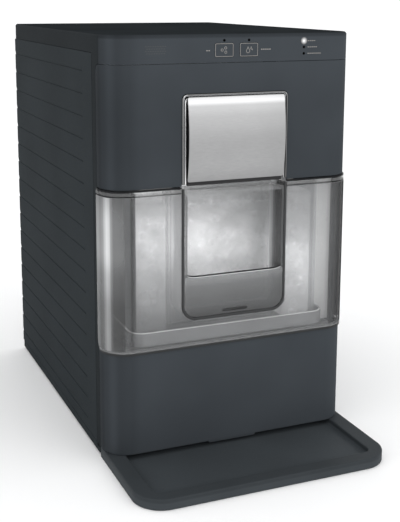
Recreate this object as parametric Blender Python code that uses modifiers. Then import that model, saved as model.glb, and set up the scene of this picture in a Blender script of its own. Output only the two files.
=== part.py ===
"""Countertop nugget ice maker, modelled as the separate pieces it comes apart into.

Units are metres and +Z is up.  The origin is at the bottom centre of the whole object's box: +X is
the appliance's right-hand side seen from the front and -Y is the front, where the tray reaches out.
"""
from math import atan2, cos, pi, radians, sin, tan

import bmesh
import bpy
from mathutils import Matrix, Vector

# ---------------------------------------------------------------- driving dimensions
BODY_WIDTH = 0.250
BODY_DEPTH = 0.352
BODY_HEIGHT = 0.400
TRAY_REACH = 0.090          # how far the drip tray stands out in front of the body
TRAY_HEIGHT = 0.0105
CORNER_RADIUS = 0.024       # front vertical corners of the body
WALL = 0.0025               # moulded and folded panels
GAP = 0.0004                # clearance between neighbouring pieces
SEAM_Z = 0.374              # underside of the control strip
SIDE_SEAM_Z = 0.383         # top of the side panels
FOOT_HEIGHT = 0.0027

HALF = BODY_WIDTH / 2
FRONT = TRAY_REACH - (BODY_DEPTH + TRAY_REACH) / 2
REAR = FRONT + BODY_DEPTH
TRAY_FRONT = FRONT - TRAY_REACH
INSIDE = HALF - WALL        # half of the clear width between the side panels
SHELL_BACK = FRONT + 0.029  # where the front shell ends on the body's sides
SHELL_CURL = 0.008          # rounding of the front shell's top rear corners
PANEL_FRONT = FRONT + 0.040 # front edge of the side panels
SHELL_BOTTOM = TRAY_HEIGHT + 0.0005
REAR_FACE = REAR - 0.001    # outer face of the rear panel
PARTITION_FRONT = 0.060
PARTITION_BACK = 0.064

# drawer with the clear window
WINDOW_BOTTOM = 0.108
WINDOW_TOP = 0.262
WINDOW_PROUD = 0.0015
WINDOW_WALL = 0.0028
WINDOW_BACK = FRONT + 0.028
WINDOW_CORNER = 0.012
BIN_HALF = 0.0955
BIN_FRONT = FRONT + 0.012
BIN_BACK = FRONT + 0.185
BIN_BOTTOM = 0.1165
BIN_TOP = 0.256
BASE_HALF = 0.101
BASE_RIM_TOP = 0.127
DECK_TOP = 0.1035
RAIL_X = 0.092
RUNNER_BOTTOM = 0.1081      # clears the lower edge of the front shell's opening

# scoop and the U-shaped dock that holds it
DOCK_HALF = 0.054
DOCK_BOTTOM = 0.1342
DOCK_DEPTH = 0.030
DOCK_CORNER = 0.0145
SCOOP_HALF = 0.0505
SCOOP_BOTTOM = 0.1377
SCOOP_TOP = 0.2575
SCOOP_LIP = 0.176           # top of the bowl's low front wall
SCOOP_WALL = 0.0022
PLATE_HALF = 0.0487
PLATE_BOTTOM = 0.2662
PLATE_TOP = 0.3438
PLATE_BOW = 0.004
PLATE_PROUD = 0.0022        # how far the plate's ends stand in front of the shell
FRAME_HALF = 0.053
FRAME_TOP = 0.3462

# control strip
KEY_WIDTH = 0.0180
KEY_HEIGHT = 0.0120
KEY_Z = 0.3851
ICE_KEY_X = -0.0123
CLEAN_KEY_X = 0.0123
LAMP_X = 0.0691
LAMP_HEIGHTS = (0.3923, 0.3865, 0.3806)
KEY_LAMP_Z = 0.3938

# machinery behind the partition
GROOVE_PITCH = 0.0214
GROOVE_COUNT = 17
GROOVE_FIRST = 0.3645
GROOVE_HEIGHT = 0.0046
GROOVE_DEPTH = 0.0006
CYLINDER_X = 0.020
CYLINDER_Y = 0.112
GEAR_TEETH = 24
PINION_TEETH = 8
GEAR_CENTRES = 0.0325
COMPRESSOR_X = -0.058
COMPRESSOR_Y = 0.143
FAN_X = 0.069
FAN_Z = 0.085
DRAIN_X = 0.004
DRAIN_Z = 0.024
HINGE_Y = REAR - 0.0085
HINGE_Z = 0.3977
HINGE_LUGS = (-0.0955, 0.0, 0.0955)


# ---------------------------------------------------------------- scene set-up
def clear_scene():
    for item in list(bpy.data.objects):
        bpy.data.objects.remove(item, do_unlink=True)


def new_collection(name):
    collection = bpy.data.collections.new(name)
    bpy.context.scene.collection.children.link(collection)
    return collection


clear_scene()
PARTS = new_collection("nugget_ice_maker")
CUTTERS = new_collection("cutters")


def material(name, colour, roughness, metallic=0.0, alpha=1.0):
    made = bpy.data.materials.new(name)
    made.use_nodes = True
    shader = made.node_tree.nodes["Principled BSDF"]
    shader.inputs["Base Color"].default_value = (*colour, 1.0)
    shader.inputs["Roughness"].default_value = roughness
    shader.inputs["Metallic"].default_value = metallic
    shader.inputs["Alpha"].default_value = alpha
    return made


SHELL_GREY = ((0.060, 0.068, 0.078), 0.45)
DARK_GREY = ((0.030, 0.034, 0.038), 0.50)
BLACK = ((0.012, 0.012, 0.014), 0.50)
SMOKY = ((0.45, 0.47, 0.48), 0.12)
WHITE = ((0.75, 0.76, 0.77), 0.45)
STEEL = ((0.62, 0.62, 0.61), 0.30)
COPPER = ((0.72, 0.38, 0.24), 0.30)
GREEN = ((0.02, 0.16, 0.07), 0.45)
RUBBER = ((0.020, 0.020, 0.022), 0.80)


# ---------------------------------------------------------------- modelling helpers
def add_object(name, mesh, finish=None, metallic=0.0, alpha=1.0):
    """Link a mesh as one named piece, or as a cutter when it has no finish."""
    item = bpy.data.objects.new(name, mesh)
    if finish is None:
        CUTTERS.objects.link(item)
        item.hide_render = True
        item.display_type = 'WIRE'
        return item
    PARTS.objects.link(item)
    mesh.materials.append(material(name + "_finish", finish[0], finish[1], metallic, alpha))
    return item


def mesh_from(name, work):
    bmesh.ops.recalc_face_normals(work, faces=work.faces)
    mesh = bpy.data.meshes.new(name)
    work.to_mesh(mesh)
    work.free()
    return mesh


def box(name, low, high, finish=None, bevel=0.0, **looks):
    work = bmesh.new()
    bmesh.ops.create_cube(work, size=1.0)
    size = Vector(high) - Vector(low)
    bmesh.ops.scale(work, vec=size, verts=work.verts)
    bmesh.ops.translate(work, vec=(Vector(high) + Vector(low)) / 2, verts=work.verts)
    item = add_object(name, mesh_from(name, work), finish, **looks)
    if bevel:
        add_bevel(item, bevel)
    return item


def boxes(name, spans, finish=None, **looks):
    """Several separate boxes in one object, each given by its low and high corner."""
    work = bmesh.new()
    for low, high in spans:
        made = bmesh.ops.create_cube(work, size=1.0)["verts"]
        bmesh.ops.scale(work, vec=Vector(high) - Vector(low), verts=made)
        bmesh.ops.translate(work, vec=(Vector(high) + Vector(low)) / 2, verts=made)
    return add_object(name, mesh_from(name, work), finish, **looks)


def add_bevel(item, width, segments=1):
    bevel = item.modifiers.new("Bevel", 'BEVEL')
    bevel.width = width
    bevel.segments = segments
    bevel.limit_method = 'ANGLE'


def rods(name, ends, radius, finish=None, sides=12, **looks):
    """Round bars in one object, each between two points on a line along X, Y or Z."""
    work = bmesh.new()
    for start, end in ends:
        start, end = Vector(start), Vector(end)
        turn = Vector((0, 0, 1)).rotation_difference(end - start).to_matrix().to_4x4()
        place = Matrix.Translation((start + end) / 2) @ turn
        bmesh.ops.create_cone(work, cap_ends=True, segments=sides, radius1=radius,
                              radius2=radius, depth=(end - start).length, matrix=place)
    item = add_object(name, mesh_from(name, work), finish, **looks)
    item.data.shade_smooth()
    item.data.set_sharp_from_angle(angle=radians(40))
    return item


def turned(name, profile, place, axis='Z', steps=16, finish=None, **looks):
    """A profile of (radius, height) points, outer side from top to bottom, spun round an axis."""
    mesh = bpy.data.meshes.new(name)
    work = bmesh.new()
    points = [work.verts.new((radius, 0, height)) for radius, height in profile]
    for first, second in zip(points, points[1:]):
        work.edges.new((first, second))
    if profile[0][0] > 0:
        work.edges.new((points[-1], points[0]))
    work.to_mesh(mesh)
    work.free()
    item = add_object(name, mesh, finish, **looks)
    item.location = place
    if axis == 'Y':
        item.rotation_euler = (-pi / 2, 0, 0)
    screw = item.modifiers.new("Screw", 'SCREW')
    screw.steps = steps
    screw.render_steps = steps
    screw.use_merge_vertices = True
    screw.merge_threshold = 0.00001
    screw.use_smooth_shade = True
    return item


def fillet(corners, segments=4):
    """Closed outline through (u, v, radius) corners, each rounded by its own radius."""
    outline = []
    for index, (u, v, radius) in enumerate(corners):
        here = Vector((u, v))
        if radius == 0:
            outline.append((u, v))
            continue
        back = (Vector(corners[index - 1][:2]) - here).normalized()
        ahead = (Vector(corners[(index + 1) % len(corners)][:2]) - here).normalized()
        half_angle = back.angle(ahead) / 2
        centre = here + (back + ahead).normalized() * radius / sin(half_angle)
        start = here + back * radius / tan(half_angle) - centre
        end = here + ahead * radius / tan(half_angle) - centre
        sweep = atan2(start.cross(end), start.dot(end))
        for step in range(segments + 1):
            angle = sweep * step / segments
            outline.append((centre.x + start.x * cos(angle) - start.y * sin(angle),
                            centre.y + start.x * sin(angle) + start.y * cos(angle)))
    return outline


def rounded_box(low, high, radius, segments=3):
    (u0, v0), (u1, v1) = low, high
    return fillet([(u0, v0, radius), (u1, v0, radius), (u1, v1, radius), (u0, v1, radius)],
                  segments)


def circle(centre, radius, sides=12):
    return [(centre[0] + radius * cos(2 * pi * step / sides),
             centre[1] + radius * sin(2 * pi * step / sides)) for step in range(sides)]


AXIS_FRAMES = {
    'X': Matrix(((0, 0, 1), (1, 0, 0), (0, 1, 0))),    # outline is (y, z)
    'Y': Matrix(((1, 0, 0), (0, 0, -1), (0, 1, 0))),   # outline is (x, z)
    'Z': Matrix.Identity(3),                           # outline is (x, y)
}


def prism(name, outlines, axis, low, high, finish=None, **looks):
    """Flat outlines (the first one outside, the others holes) made solid along an axis."""
    curve = bpy.data.curves.new(name + "_outline", 'CURVE')
    curve.dimensions = '2D'
    curve.fill_mode = 'BOTH'
    curve.extrude = (high - low) / 2
    for outline in outlines:
        spline = curve.splines.new('POLY')
        spline.points.add(len(outline) - 1)
        for point, (u, v) in zip(spline.points, outline):
            point.co = (u, v, 0, 1)
        spline.use_cyclic_u = True
    guide = bpy.data.objects.new(name + "_outline", curve)
    CUTTERS.objects.link(guide)
    bpy.context.view_layer.update()
    solid = bpy.data.meshes.new_from_object(
        guide.evaluated_get(bpy.context.evaluated_depsgraph_get()))
    bpy.data.objects.remove(guide, do_unlink=True)
    work = bmesh.new()
    work.from_mesh(solid)
    bmesh.ops.remove_doubles(work, verts=work.verts, dist=0.00001)
    middle = {'X': 0, 'Y': 1, 'Z': 2}[axis]
    place = AXIS_FRAMES[axis].to_4x4()
    place[middle][3] = (low + high) / 2
    work.transform(place)
    return add_object(name, mesh_from(name, work), finish, **looks)


def tube(name, routes, radius, finish, resolution=1, **looks):
    """Round pipes or hoses in one object, each following its own list of points."""
    curve = bpy.data.curves.new(name, 'CURVE')
    curve.dimensions = '3D'
    curve.bevel_depth = radius
    curve.bevel_resolution = resolution
    curve.use_fill_caps = True
    for route in routes:
        spline = curve.splines.new('POLY')
        spline.points.add(len(route) - 1)
        for point, place in zip(spline.points, route):
            point.co = (*place, 1)
    item = bpy.data.objects.new(name, curve)
    PARTS.objects.link(item)
    curve.materials.append(material(name + "_finish", finish[0], finish[1], **looks))
    return item


def smooth_route(points, steps=4):
    """Points along a Catmull-Rom curve through the given ones."""
    ends = [Vector(points[0]) * 2 - Vector(points[1])]
    ends += [Vector(point) for point in points]
    ends.append(Vector(points[-1]) * 2 - Vector(points[-2]))
    route = []
    for a, b, c, d in zip(ends, ends[1:], ends[2:], ends[3:]):
        for step in range(steps):
            t = step / steps
            route.append(0.5 * (2 * b + (c - a) * t + (2 * a - 5 * b + 4 * c - d) * t ** 2
                                + (3 * b - a - 3 * c + d) * t ** 3))
    route.append(Vector(points[-1]))
    return route


def boolean(item, other, operation):
    step = item.modifiers.new(other.name, 'BOOLEAN')
    step.operation = operation
    step.object = other
    return item


def cut(item, *others):
    for other in others:
        boolean(item, other, 'DIFFERENCE')
    return item


def hang_on(name, place, *pieces):
    """Parent moving pieces to an empty that stands on their joint's axis."""
    pivot = bpy.data.objects.new(name, None)
    pivot.empty_display_size = 0.02
    pivot.location = place
    PARTS.objects.link(pivot)
    bpy.context.view_layer.update()
    for piece in pieces:
        piece.parent = pivot
        piece.matrix_parent_inverse = pivot.matrix_world.inverted()
    return pivot


def wrap_outline(half, front, back, radius, wall, segments=6):
    """Plan of a wall that runs along the front and turns round both front corners."""
    return fillet([(-half, back, 0), (-half, front, radius), (half, front, radius),
                   (half, back, 0), (half - wall, back, 0),
                   (half - wall, front + wall, radius - wall),
                   (wall - half, front + wall, radius - wall), (wall - half, back, 0)], segments)


def body_outline(inset, rear_radius=0.006, segments=5):
    """Plan of the whole body, moved inwards by the inset."""
    half = HALF - inset
    radius = CORNER_RADIUS - inset
    rear = max(rear_radius - inset, 0.001)
    return fillet([(-half, FRONT + inset, radius), (half, FRONT + inset, radius),
                   (half, REAR - inset, rear), (-half, REAR - inset, rear)], segments)


# ---------------------------------------------------------------- base, feet and drip tray
def make_base():
    front = FRONT + 0.0305
    plan = fillet([(-HALF, front, 0.002), (HALF, front, 0.002), (HALF, REAR, 0.004),
                   (-HALF, REAR, 0.004)], 3)
    pan = prism("base_pan", [plan], 'Z', 0.003, TRAY_HEIGHT, SHELL_GREY)
    hollow = box("base_hollow", (-INSIDE, front + WALL, 0.0055), (INSIDE, REAR - WALL, 0.02))
    cut(pan, hollow)
    for end, y in (("front", -0.080), ("rear", 0.195)):
        for side, x in (("left", -0.100), ("right", 0.100)):
            rods(f"{end}_{side}_foot", [((x, y, 0), (x, y, FOOT_HEIGHT))], 0.011, RUBBER)


def bevel_top_rim(item, top, width, segments):
    """Round the top edges of an upright prism, once each of its caps is a single face."""
    work = bmesh.new()
    work.from_mesh(item.data)
    bmesh.ops.dissolve_limit(work, angle_limit=radians(1), verts=work.verts, edges=work.edges)
    rim = [edge for edge in work.edges
           if all(abs(vert.co.z - top) < 0.00001 for vert in edge.verts)]
    bmesh.ops.bevel(work, geom=rim, offset=width, segments=segments, profile=0.5,
                    affect='EDGES')
    work.to_mesh(item.data)
    work.free()


def make_drip_tray():
    back = FRONT + 0.030
    plan = fillet([(-HALF, TRAY_FRONT, 0.028), (HALF, TRAY_FRONT, 0.028), (HALF, back, 0.002),
                   (-HALF, back, 0.002)], 6)
    tray = prism("drip_tray", [plan], 'Z', 0.0004, TRAY_HEIGHT, SHELL_GREY)
    bevel_top_rim(tray, TRAY_HEIGHT, 0.0016, 2)
    rim_front, rim_side = 0.0145, 0.0165
    basin_plan = rounded_box((rim_side - HALF, TRAY_FRONT + rim_front),
                             (HALF - rim_side, back - 0.006), 0.006)
    basin = prism("tray_basin_cutter", [basin_plan], 'Z', 0.005, 0.02)
    notch = box("tray_notch_cutter", (-0.040, back - 0.012, 0.0070), (0.040, back + 0.01, 0.02))
    cut(tray, basin, notch)
    hang_on("tray_slide", (0, TRAY_FRONT, 0), tray)


# ---------------------------------------------------------------- housing
def make_side_panels():
    """Flat sides with shallow level grooves that run out through the rear edge."""
    groove_front = FRONT + 0.071
    for side, name in ((-1, "left_side_panel"), (1, "right_side_panel")):
        span = sorted((side * INSIDE, side * HALF))
        panel = box(name, (span[0], PANEL_FRONT + GAP, SHELL_BOTTOM),
                    (span[1], REAR, SIDE_SEAM_Z - GAP), SHELL_GREY)
        cuts = []
        for index in range(GROOVE_COUNT):
            level = GROOVE_FIRST - GROOVE_PITCH * index
            edge = sorted((side * (HALF - GROOVE_DEPTH), side * (HALF + 0.002)))
            cuts.append(((edge[0], groove_front, level),
                         (edge[1], REAR + 0.002, level + GROOVE_HEIGHT)))
        cut(panel, boxes(name + "_groove_cutter", cuts))


def make_rear_panel():
    half = INSIDE - GAP
    slots = []
    for column_left, column_right in ((0.026, 0.066), (0.072, 0.112)):
        for row in range(10):
            level = 0.032 + 0.0115 * row
            slots.append(((column_left, REAR_FACE - 0.01, level),
                          (column_right, REAR, level + 0.0055)))
    for row in range(6):
        level = 0.062 + 0.0115 * row
        slots.append(((-0.105, REAR_FACE - 0.01, level), (-0.020, REAR, level + 0.0055)))
    panel = prism("rear_panel",
                  [[(-half, SHELL_BOTTOM), (half, SHELL_BOTTOM), (half, SIDE_SEAM_Z - GAP),
                    (-half, SIDE_SEAM_Z - GAP)],
                   circle((DRAIN_X, DRAIN_Z), 0.0112),
                   circle((-0.095, 0.036), 0.0100)], 'Y', REAR_FACE - WALL, REAR_FACE, SHELL_GREY)
    cut(panel, boxes("rear_vent_cutter", slots))
    turned("cord_gland", [(0.0138, 0.0004), (0.0138, 0.0), (0.0096, 0.0), (0.0096, -0.010),
                          (0.0045, -0.010), (0.0045, 0.0004)],
           (-0.095, REAR_FACE + 0.0003, 0.036), axis='Y', steps=12, finish=RUBBER)


def shell_side_view(clearance):
    """Side view of the front shell, whose top rear corners are rounded over."""
    back, top = SHELL_BACK + clearance, SEAM_Z - GAP + clearance
    return fillet([(FRONT - 0.01, -0.01, 0), (back, -0.01, 0), (back, top, SHELL_CURL),
                   (FRONT - 0.01, top, 0)], 5)


def make_front_shell():
    """One moulding: the panel above the drawer, two corner posts and the panel below it."""
    plan = wrap_outline(HALF, FRONT, SHELL_BACK, CORNER_RADIUS, WALL)
    shell = prism("front_shell", [plan], 'Z', SHELL_BOTTOM, SEAM_Z - GAP, SHELL_GREY)
    boolean(shell, prism("shell_corner_guide", [shell_side_view(0.0)], 'X', -0.2, 0.2),
            'INTERSECT')
    opening = fillet([(FRONT - 0.02, WINDOW_BOTTOM - GAP, 0),
                      (WINDOW_BACK + GAP, WINDOW_BOTTOM - GAP, WINDOW_CORNER),
                      (WINDOW_BACK + GAP, WINDOW_TOP + GAP, 0),
                      (FRONT - 0.02, WINDOW_TOP + GAP, 0)], 5)
    drawer_hole = prism("drawer_opening_cutter", [opening], 'X', -0.2, 0.2)
    half = FRAME_HALF + 0.0003
    handle_outline = fillet([(-half, WINDOW_TOP - 0.01, 0), (half, WINDOW_TOP - 0.01, 0),
                             (half, FRAME_TOP + 0.0003, 0.005),
                             (-half, FRAME_TOP + 0.0003, 0.005)], 4)
    handle_hole = prism("handle_opening_cutter", [handle_outline], 'Y', FRONT - 0.01,
                        FRONT + 0.02)
    cut(shell, drawer_hole, handle_hole)
    latch = box("tray_latch_block", (-0.0245, FRONT + 0.0010, 0.0080),
                (0.0245, FRONT + 0.0160, SHELL_BOTTOM + 0.0006))
    boolean(shell, latch, 'UNION')


def make_handle_recess():
    """Steel trim round the scoop's handle, and the black cup that gives fingers room."""
    outer = FRAME_HALF
    inner = PLATE_HALF + 0.0006
    trim_bottom = WINDOW_TOP + 0.0020
    trim = fillet([(-outer, trim_bottom, 0), (-inner, trim_bottom, 0),
                   (-inner, PLATE_TOP + 0.0006, 0.003), (inner, PLATE_TOP + 0.0006, 0.003),
                   (inner, trim_bottom, 0), (outer, trim_bottom, 0),
                   (outer, FRAME_TOP, 0.005), (-outer, FRAME_TOP, 0.005)], 4)
    prism("handle_trim", [trim], 'Y', FRONT - 0.0006, FRONT + 0.0030, STEEL, metallic=1.0)
    cup = box("handle_recess", (-0.055, FRONT + 0.0034, 0.265), (0.055, FRONT + 0.022, 0.348),
              BLACK)
    hollow = box("handle_recess_cutter", (-0.0525, FRONT - 0.01, 0.25),
                 (0.0525, FRONT + 0.020, 0.3455))
    cut(cup, hollow)


def make_top_cover():
    """Top ring of the housing: its front is the control strip, and a narrow column runs down
    each side between the front shell and the side panel."""
    cover = prism("top_cover", [body_outline(0.0)], 'Z', SEAM_Z, BODY_HEIGHT, SHELL_GREY)
    bevel_top_rim(cover, BODY_HEIGHT, 0.0026, 3)
    for side in (-1, 1):
        inner, outer = sorted((side * INSIDE, side * HALF))
        boolean(cover, box("cover_column_block", (inner, SHELL_BACK - SHELL_CURL, SHELL_BOTTOM),
                           (outer, PANEL_FRONT, SEAM_Z + 0.0020)), 'UNION')
    well = prism("cover_well_cutter", [body_outline(0.0100)], 'Z', 0.36, 0.41)
    under = prism("cover_under_cutter", [body_outline(0.0030)], 'Z', 0.36, 0.3945)
    recess = prism("cover_recess_cutter", [body_outline(0.0036)], 'Z', 0.3966, 0.41)
    behind = box("cover_side_cutter", (-0.2, PANEL_FRONT, 0.36), (0.2, 0.3, SIDE_SEAM_Z))
    shell_space = prism("cover_shell_cutter", [shell_side_view(GAP)], 'X', -0.2, 0.2)
    channel = box("hinge_channel_cutter", (-0.104, HINGE_Y - 0.0032, 0.3950),
                  (0.104, HINGE_Y + 0.0030, 0.41))
    holes = []
    for x in (ICE_KEY_X, CLEAN_KEY_X):
        holes.append(((x - KEY_WIDTH / 2 - 0.0003, FRONT - 0.01, KEY_Z - KEY_HEIGHT / 2 - 0.0003),
                      (x + KEY_WIDTH / 2 + 0.0003, FRONT + 0.005,
                       KEY_Z + KEY_HEIGHT / 2 + 0.0003)))
    key_holes = boxes("key_hole_cutter", holes)
    lamps = [(LAMP_X, z) for z in LAMP_HEIGHTS]
    lamps += [(ICE_KEY_X, KEY_LAMP_Z), (CLEAN_KEY_X, KEY_LAMP_Z)]
    lamp_holes = rods("lamp_hole_cutter", [((x, FRONT - 0.005, z), (x, FRONT + 0.0055, z))
                                           for x, z in lamps], 0.0013, sides=8)
    cut(cover, well, under, recess, behind, shell_space, channel, key_holes, lamp_holes)
    lugs = boxes("hinge_lug_blocks", [((x - 0.0060, HINGE_Y - 0.0020, 0.3940),
                                       (x + 0.0060, HINGE_Y + 0.0022, 0.3994))
                                      for x in HINGE_LUGS])
    boolean(cover, lugs, 'UNION')
    cut(cover, rods("hinge_bore_cutter", [((-0.1040, HINGE_Y, HINGE_Z),
                                           (0.1040, HINGE_Y, HINGE_Z))], 0.0013, sides=8))
    make_light_guide(lamps)


def make_light_guide(lamps):
    """One clear moulding whose pegs carry the board's light to the indicator holes."""
    back = FRONT + 0.0056
    guide = box("light_guide", (ICE_KEY_X - 0.0012, FRONT + 0.0042, KEY_LAMP_Z - 0.0030),
                (LAMP_X + 0.0012, back, KEY_LAMP_Z), WHITE)
    riser = box("light_guide_riser", (LAMP_X - 0.0014, FRONT + 0.0040, LAMP_HEIGHTS[-1] - 0.0014),
                (LAMP_X + 0.0014, back + 0.0002, KEY_LAMP_Z - 0.0003))
    pegs = rods("light_guide_pegs", [((x, FRONT + 0.0001, z), (x, FRONT + 0.0048, z))
                                     for x, z in lamps], 0.0010, sides=8)
    boolean(guide, riser, 'UNION')
    boolean(guide, pegs, 'UNION')


def make_keys():
    """Two push keys flush with the control strip, each on a short stem."""
    for name, x in (("ice_key", ICE_KEY_X), ("clean_key", CLEAN_KEY_X)):
        key = box(name, (x - KEY_WIDTH / 2, FRONT - 0.0002, KEY_Z - KEY_HEIGHT / 2),
                  (x + KEY_WIDTH / 2, FRONT + 0.0026, KEY_Z + KEY_HEIGHT / 2), SHELL_GREY)
        stem = box(name + "_stem_cutter", (x - 0.003, FRONT + 0.0020, KEY_Z - 0.003),
                   (x + 0.003, FRONT + 0.0046, KEY_Z + 0.003))
        boolean(key, stem, 'UNION')
        hang_on(name + "_press", (x, FRONT, KEY_Z), key)
    board = box("control_board", (-0.045, FRONT + 0.0088, 0.3765),
                (0.090, FRONT + 0.0104, 0.3938), GREEN)
    switches = [((x - 0.0035, FRONT + 0.0058, KEY_Z - 0.0035),
                 (x + 0.0035, FRONT + 0.0092, KEY_Z + 0.0035))
                for x in (ICE_KEY_X, CLEAN_KEY_X)]
    boolean(board, boxes("key_switch_blocks", switches), 'UNION')


def make_fill_lid():
    """Water-fill lid over the whole top, turning on a pin along its rear edge."""
    inset = 0.0045
    half = HALF - inset
    radius = CORNER_RADIUS - inset
    plan = fillet([(-half, FRONT + inset, radius), (half, FRONT + inset, radius),
                   (half, HINGE_Y + 0.0005, 0), (-half, HINGE_Y + 0.0005, 0)], 5)
    lid = prism("fill_lid", [plan], 'Z', 0.3970, 0.3992, DARK_GREY)
    edge_front, edge_back = HINGE_Y - 0.0032, HINGE_Y + 0.01
    clearance = boxes("lid_lug_cutter", [((start, edge_front, 0.39), (end, edge_back, 0.41))
                                         for start, end in ((-0.1450, -0.0870), (-0.0085, 0.0085),
                                                            (0.0870, 0.1450))])
    cut(lid, clearance)
    knuckles = rods("lid_knuckle_bars", [((-0.0865, HINGE_Y, HINGE_Z), (-0.0090, HINGE_Y, HINGE_Z)),
                                         ((0.0090, HINGE_Y, HINGE_Z), (0.0865, HINGE_Y, HINGE_Z))],
                    0.0022, sides=10)
    boolean(lid, knuckles, 'UNION')
    bore = rods("lid_bore_cutter", [((-0.15, HINGE_Y, HINGE_Z), (0.15, HINGE_Y, HINGE_Z))],
                0.0014, sides=8)
    cut(lid, bore)
    rods("lid_hinge_pin", [((-0.1010, HINGE_Y, HINGE_Z), (0.1010, HINGE_Y, HINGE_Z))], 0.0010,
         STEEL, sides=8, metallic=1.0)
    hang_on("lid_hinge", (0, HINGE_Y, HINGE_Z), lid)


def make_fill_deck():
    """Deck under the lid, with a dished inlet and the pipe that leads down to the tank."""
    deck = prism("fill_deck", [rounded_box((-0.1140, FRONT + 0.016), (0.1140, REAR - 0.014), 0.010)],
                 'Z', 0.3858, 0.3882, DARK_GREY)
    dish = box("fill_dish_block", (0.030, -0.070, 0.3720), (0.1138, 0.050, 0.3870))
    boolean(deck, dish, 'UNION')
    hollow = prism("fill_dish_cutter", [rounded_box((0.0325, -0.0675), (0.1115, 0.0475), 0.008)],
                   'Z', 0.3745, 0.40)
    drain = rods("fill_hole_cutter", [((0.1065, -0.010, 0.36), (0.1065, -0.010, 0.38))], 0.0040)
    cut(deck, hollow, drain)
    turned("fill_pipe", [(0.0052, 0.3716), (0.0052, 0.0960), (0.0042, 0.0960), (0.0042, 0.3716)],
           (0.1080, -0.010, 0), steps=12, finish=SMOKY)


# ---------------------------------------------------------------- drawer, bin and scoop
def make_drawer_window():
    half = HALF + WINDOW_PROUD
    plan = wrap_outline(half, FRONT - WINDOW_PROUD, WINDOW_BACK, CORNER_RADIUS + WINDOW_PROUD,
                        WINDOW_WALL)
    window = prism("drawer_window", [plan], 'Z', WINDOW_BOTTOM, WINDOW_TOP, SMOKY, alpha=0.4)
    side_view = fillet([(FRONT - 0.02, WINDOW_BOTTOM - 0.01, 0), (FRONT - 0.02, WINDOW_BOTTOM, 0),
                        (WINDOW_BACK, WINDOW_BOTTOM, WINDOW_CORNER),
                        (WINDOW_BACK, WINDOW_TOP + 0.01, 0),
                        (WINDOW_BACK + 0.02, WINDOW_TOP + 0.01, 0),
                        (WINDOW_BACK + 0.02, WINDOW_BOTTOM - 0.01, 0)], 5)
    corner_cutter = prism("window_corner_cutter", [side_view], 'X', -0.2, 0.2)
    pocket = prism("window_pocket_cutter", [dock_outline(0.0, WINDOW_TOP + 0.02)], 'Y',
                   FRONT - 0.02, FRONT + 0.02)
    cut(window, corner_cutter, pocket)
    return window


def dock_outline(inset, top, segments=5):
    half = DOCK_HALF - inset
    bottom = DOCK_BOTTOM + inset
    radius = DOCK_CORNER - inset
    return fillet([(-half, bottom, radius), (half, bottom, radius), (half, top, 0),
                   (-half, top, 0)], segments)


def dock_channel(inset, wall, top, segments=5):
    """Front view of a U-shaped strip that follows the dock's opening."""
    outside = dock_outline(inset, top, segments)
    inside = dock_outline(inset + wall, top, segments)
    left_out, right_out = outside[-1], outside[-2]
    left_in, right_in = inside[-1], inside[-2]
    return [left_out] + outside[:-2] + [right_out, right_in] + inside[:-2][::-1] + [left_in]


def make_scoop_dock():
    dock = prism("scoop_dock", [dock_outline(0.0004, 0.2600)], 'Y', FRONT + 0.0018,
                 FRONT + DOCK_DEPTH, SMOKY, alpha=0.4)
    hollow = prism("dock_cutter", [dock_outline(0.0024, 0.28)], 'Y', FRONT - 0.01,
                   FRONT + DOCK_DEPTH - 0.002)
    cut(dock, hollow)
    gasket = prism("dock_gasket", [dock_channel(0.0004, 0.0028, 0.2600)], 'Y', FRONT - 0.0012,
                   FRONT + 0.0014, RUBBER)
    return dock, gasket


def bin_outline(inset):
    half = BIN_HALF - inset
    notch_half = 0.0580 + inset
    notch_back = FRONT + 0.0320 + inset
    front = BIN_FRONT + inset
    back = BIN_BACK - inset
    return fillet([(-half, front, 0.005), (-notch_half, front, 0.003), (-notch_half, notch_back, 0),
                   (notch_half, notch_back, 0), (notch_half, front, 0.003), (half, front, 0.005),
                   (half, back, 0.010), (-half, back, 0.010)], 3)


def make_ice_bin():
    """Clear bin that wraps round the back of the scoop dock, with drain holes in its floor."""
    ice_bin = prism("ice_bin", [bin_outline(0.0)], 'Z', BIN_BOTTOM, BIN_TOP, SMOKY, alpha=0.4)
    hollow = prism("bin_cutter", [bin_outline(0.0022)], 'Z', BIN_BOTTOM + 0.0025, 0.28)
    drains = rods("bin_drain_cutter", [((x, y, 0.11), (x, y, 0.13))
                                       for x in (-0.030, 0.0, 0.030) for y in (-0.03, 0.0)],
                  0.003, sides=8)
    cut(ice_bin, hollow, drains)
    base = prism("drawer_base", [rounded_box((-BASE_HALF, FRONT + 0.0020),
                                             (BASE_HALF, FRONT + 0.188), 0.014)], 'Z',
                 0.1137, BASE_RIM_TOP, SMOKY, alpha=0.4)
    base_hollow = prism("drawer_base_cutter", [rounded_box((0.002 - BASE_HALF, FRONT + 0.0040),
                                                           (BASE_HALF - 0.002, FRONT + 0.186),
                                                           0.012)], 'Z', 0.1162, 0.14)
    outlet = box("drawer_outlet_cutter", (-0.020, -0.045, 0.10), (0.020, 0.015, 0.12))
    cut(base, base_hollow, outlet)
    runners = boxes("drawer_runner_blocks", [((x - 0.004, FRONT + 0.034, RUNNER_BOTTOM),
                                              (x + 0.004, FRONT + 0.184, 0.1150))
                                             for x in (-RAIL_X, RAIL_X)])
    boolean(base, runners, 'UNION')
    return ice_bin, base


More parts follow.
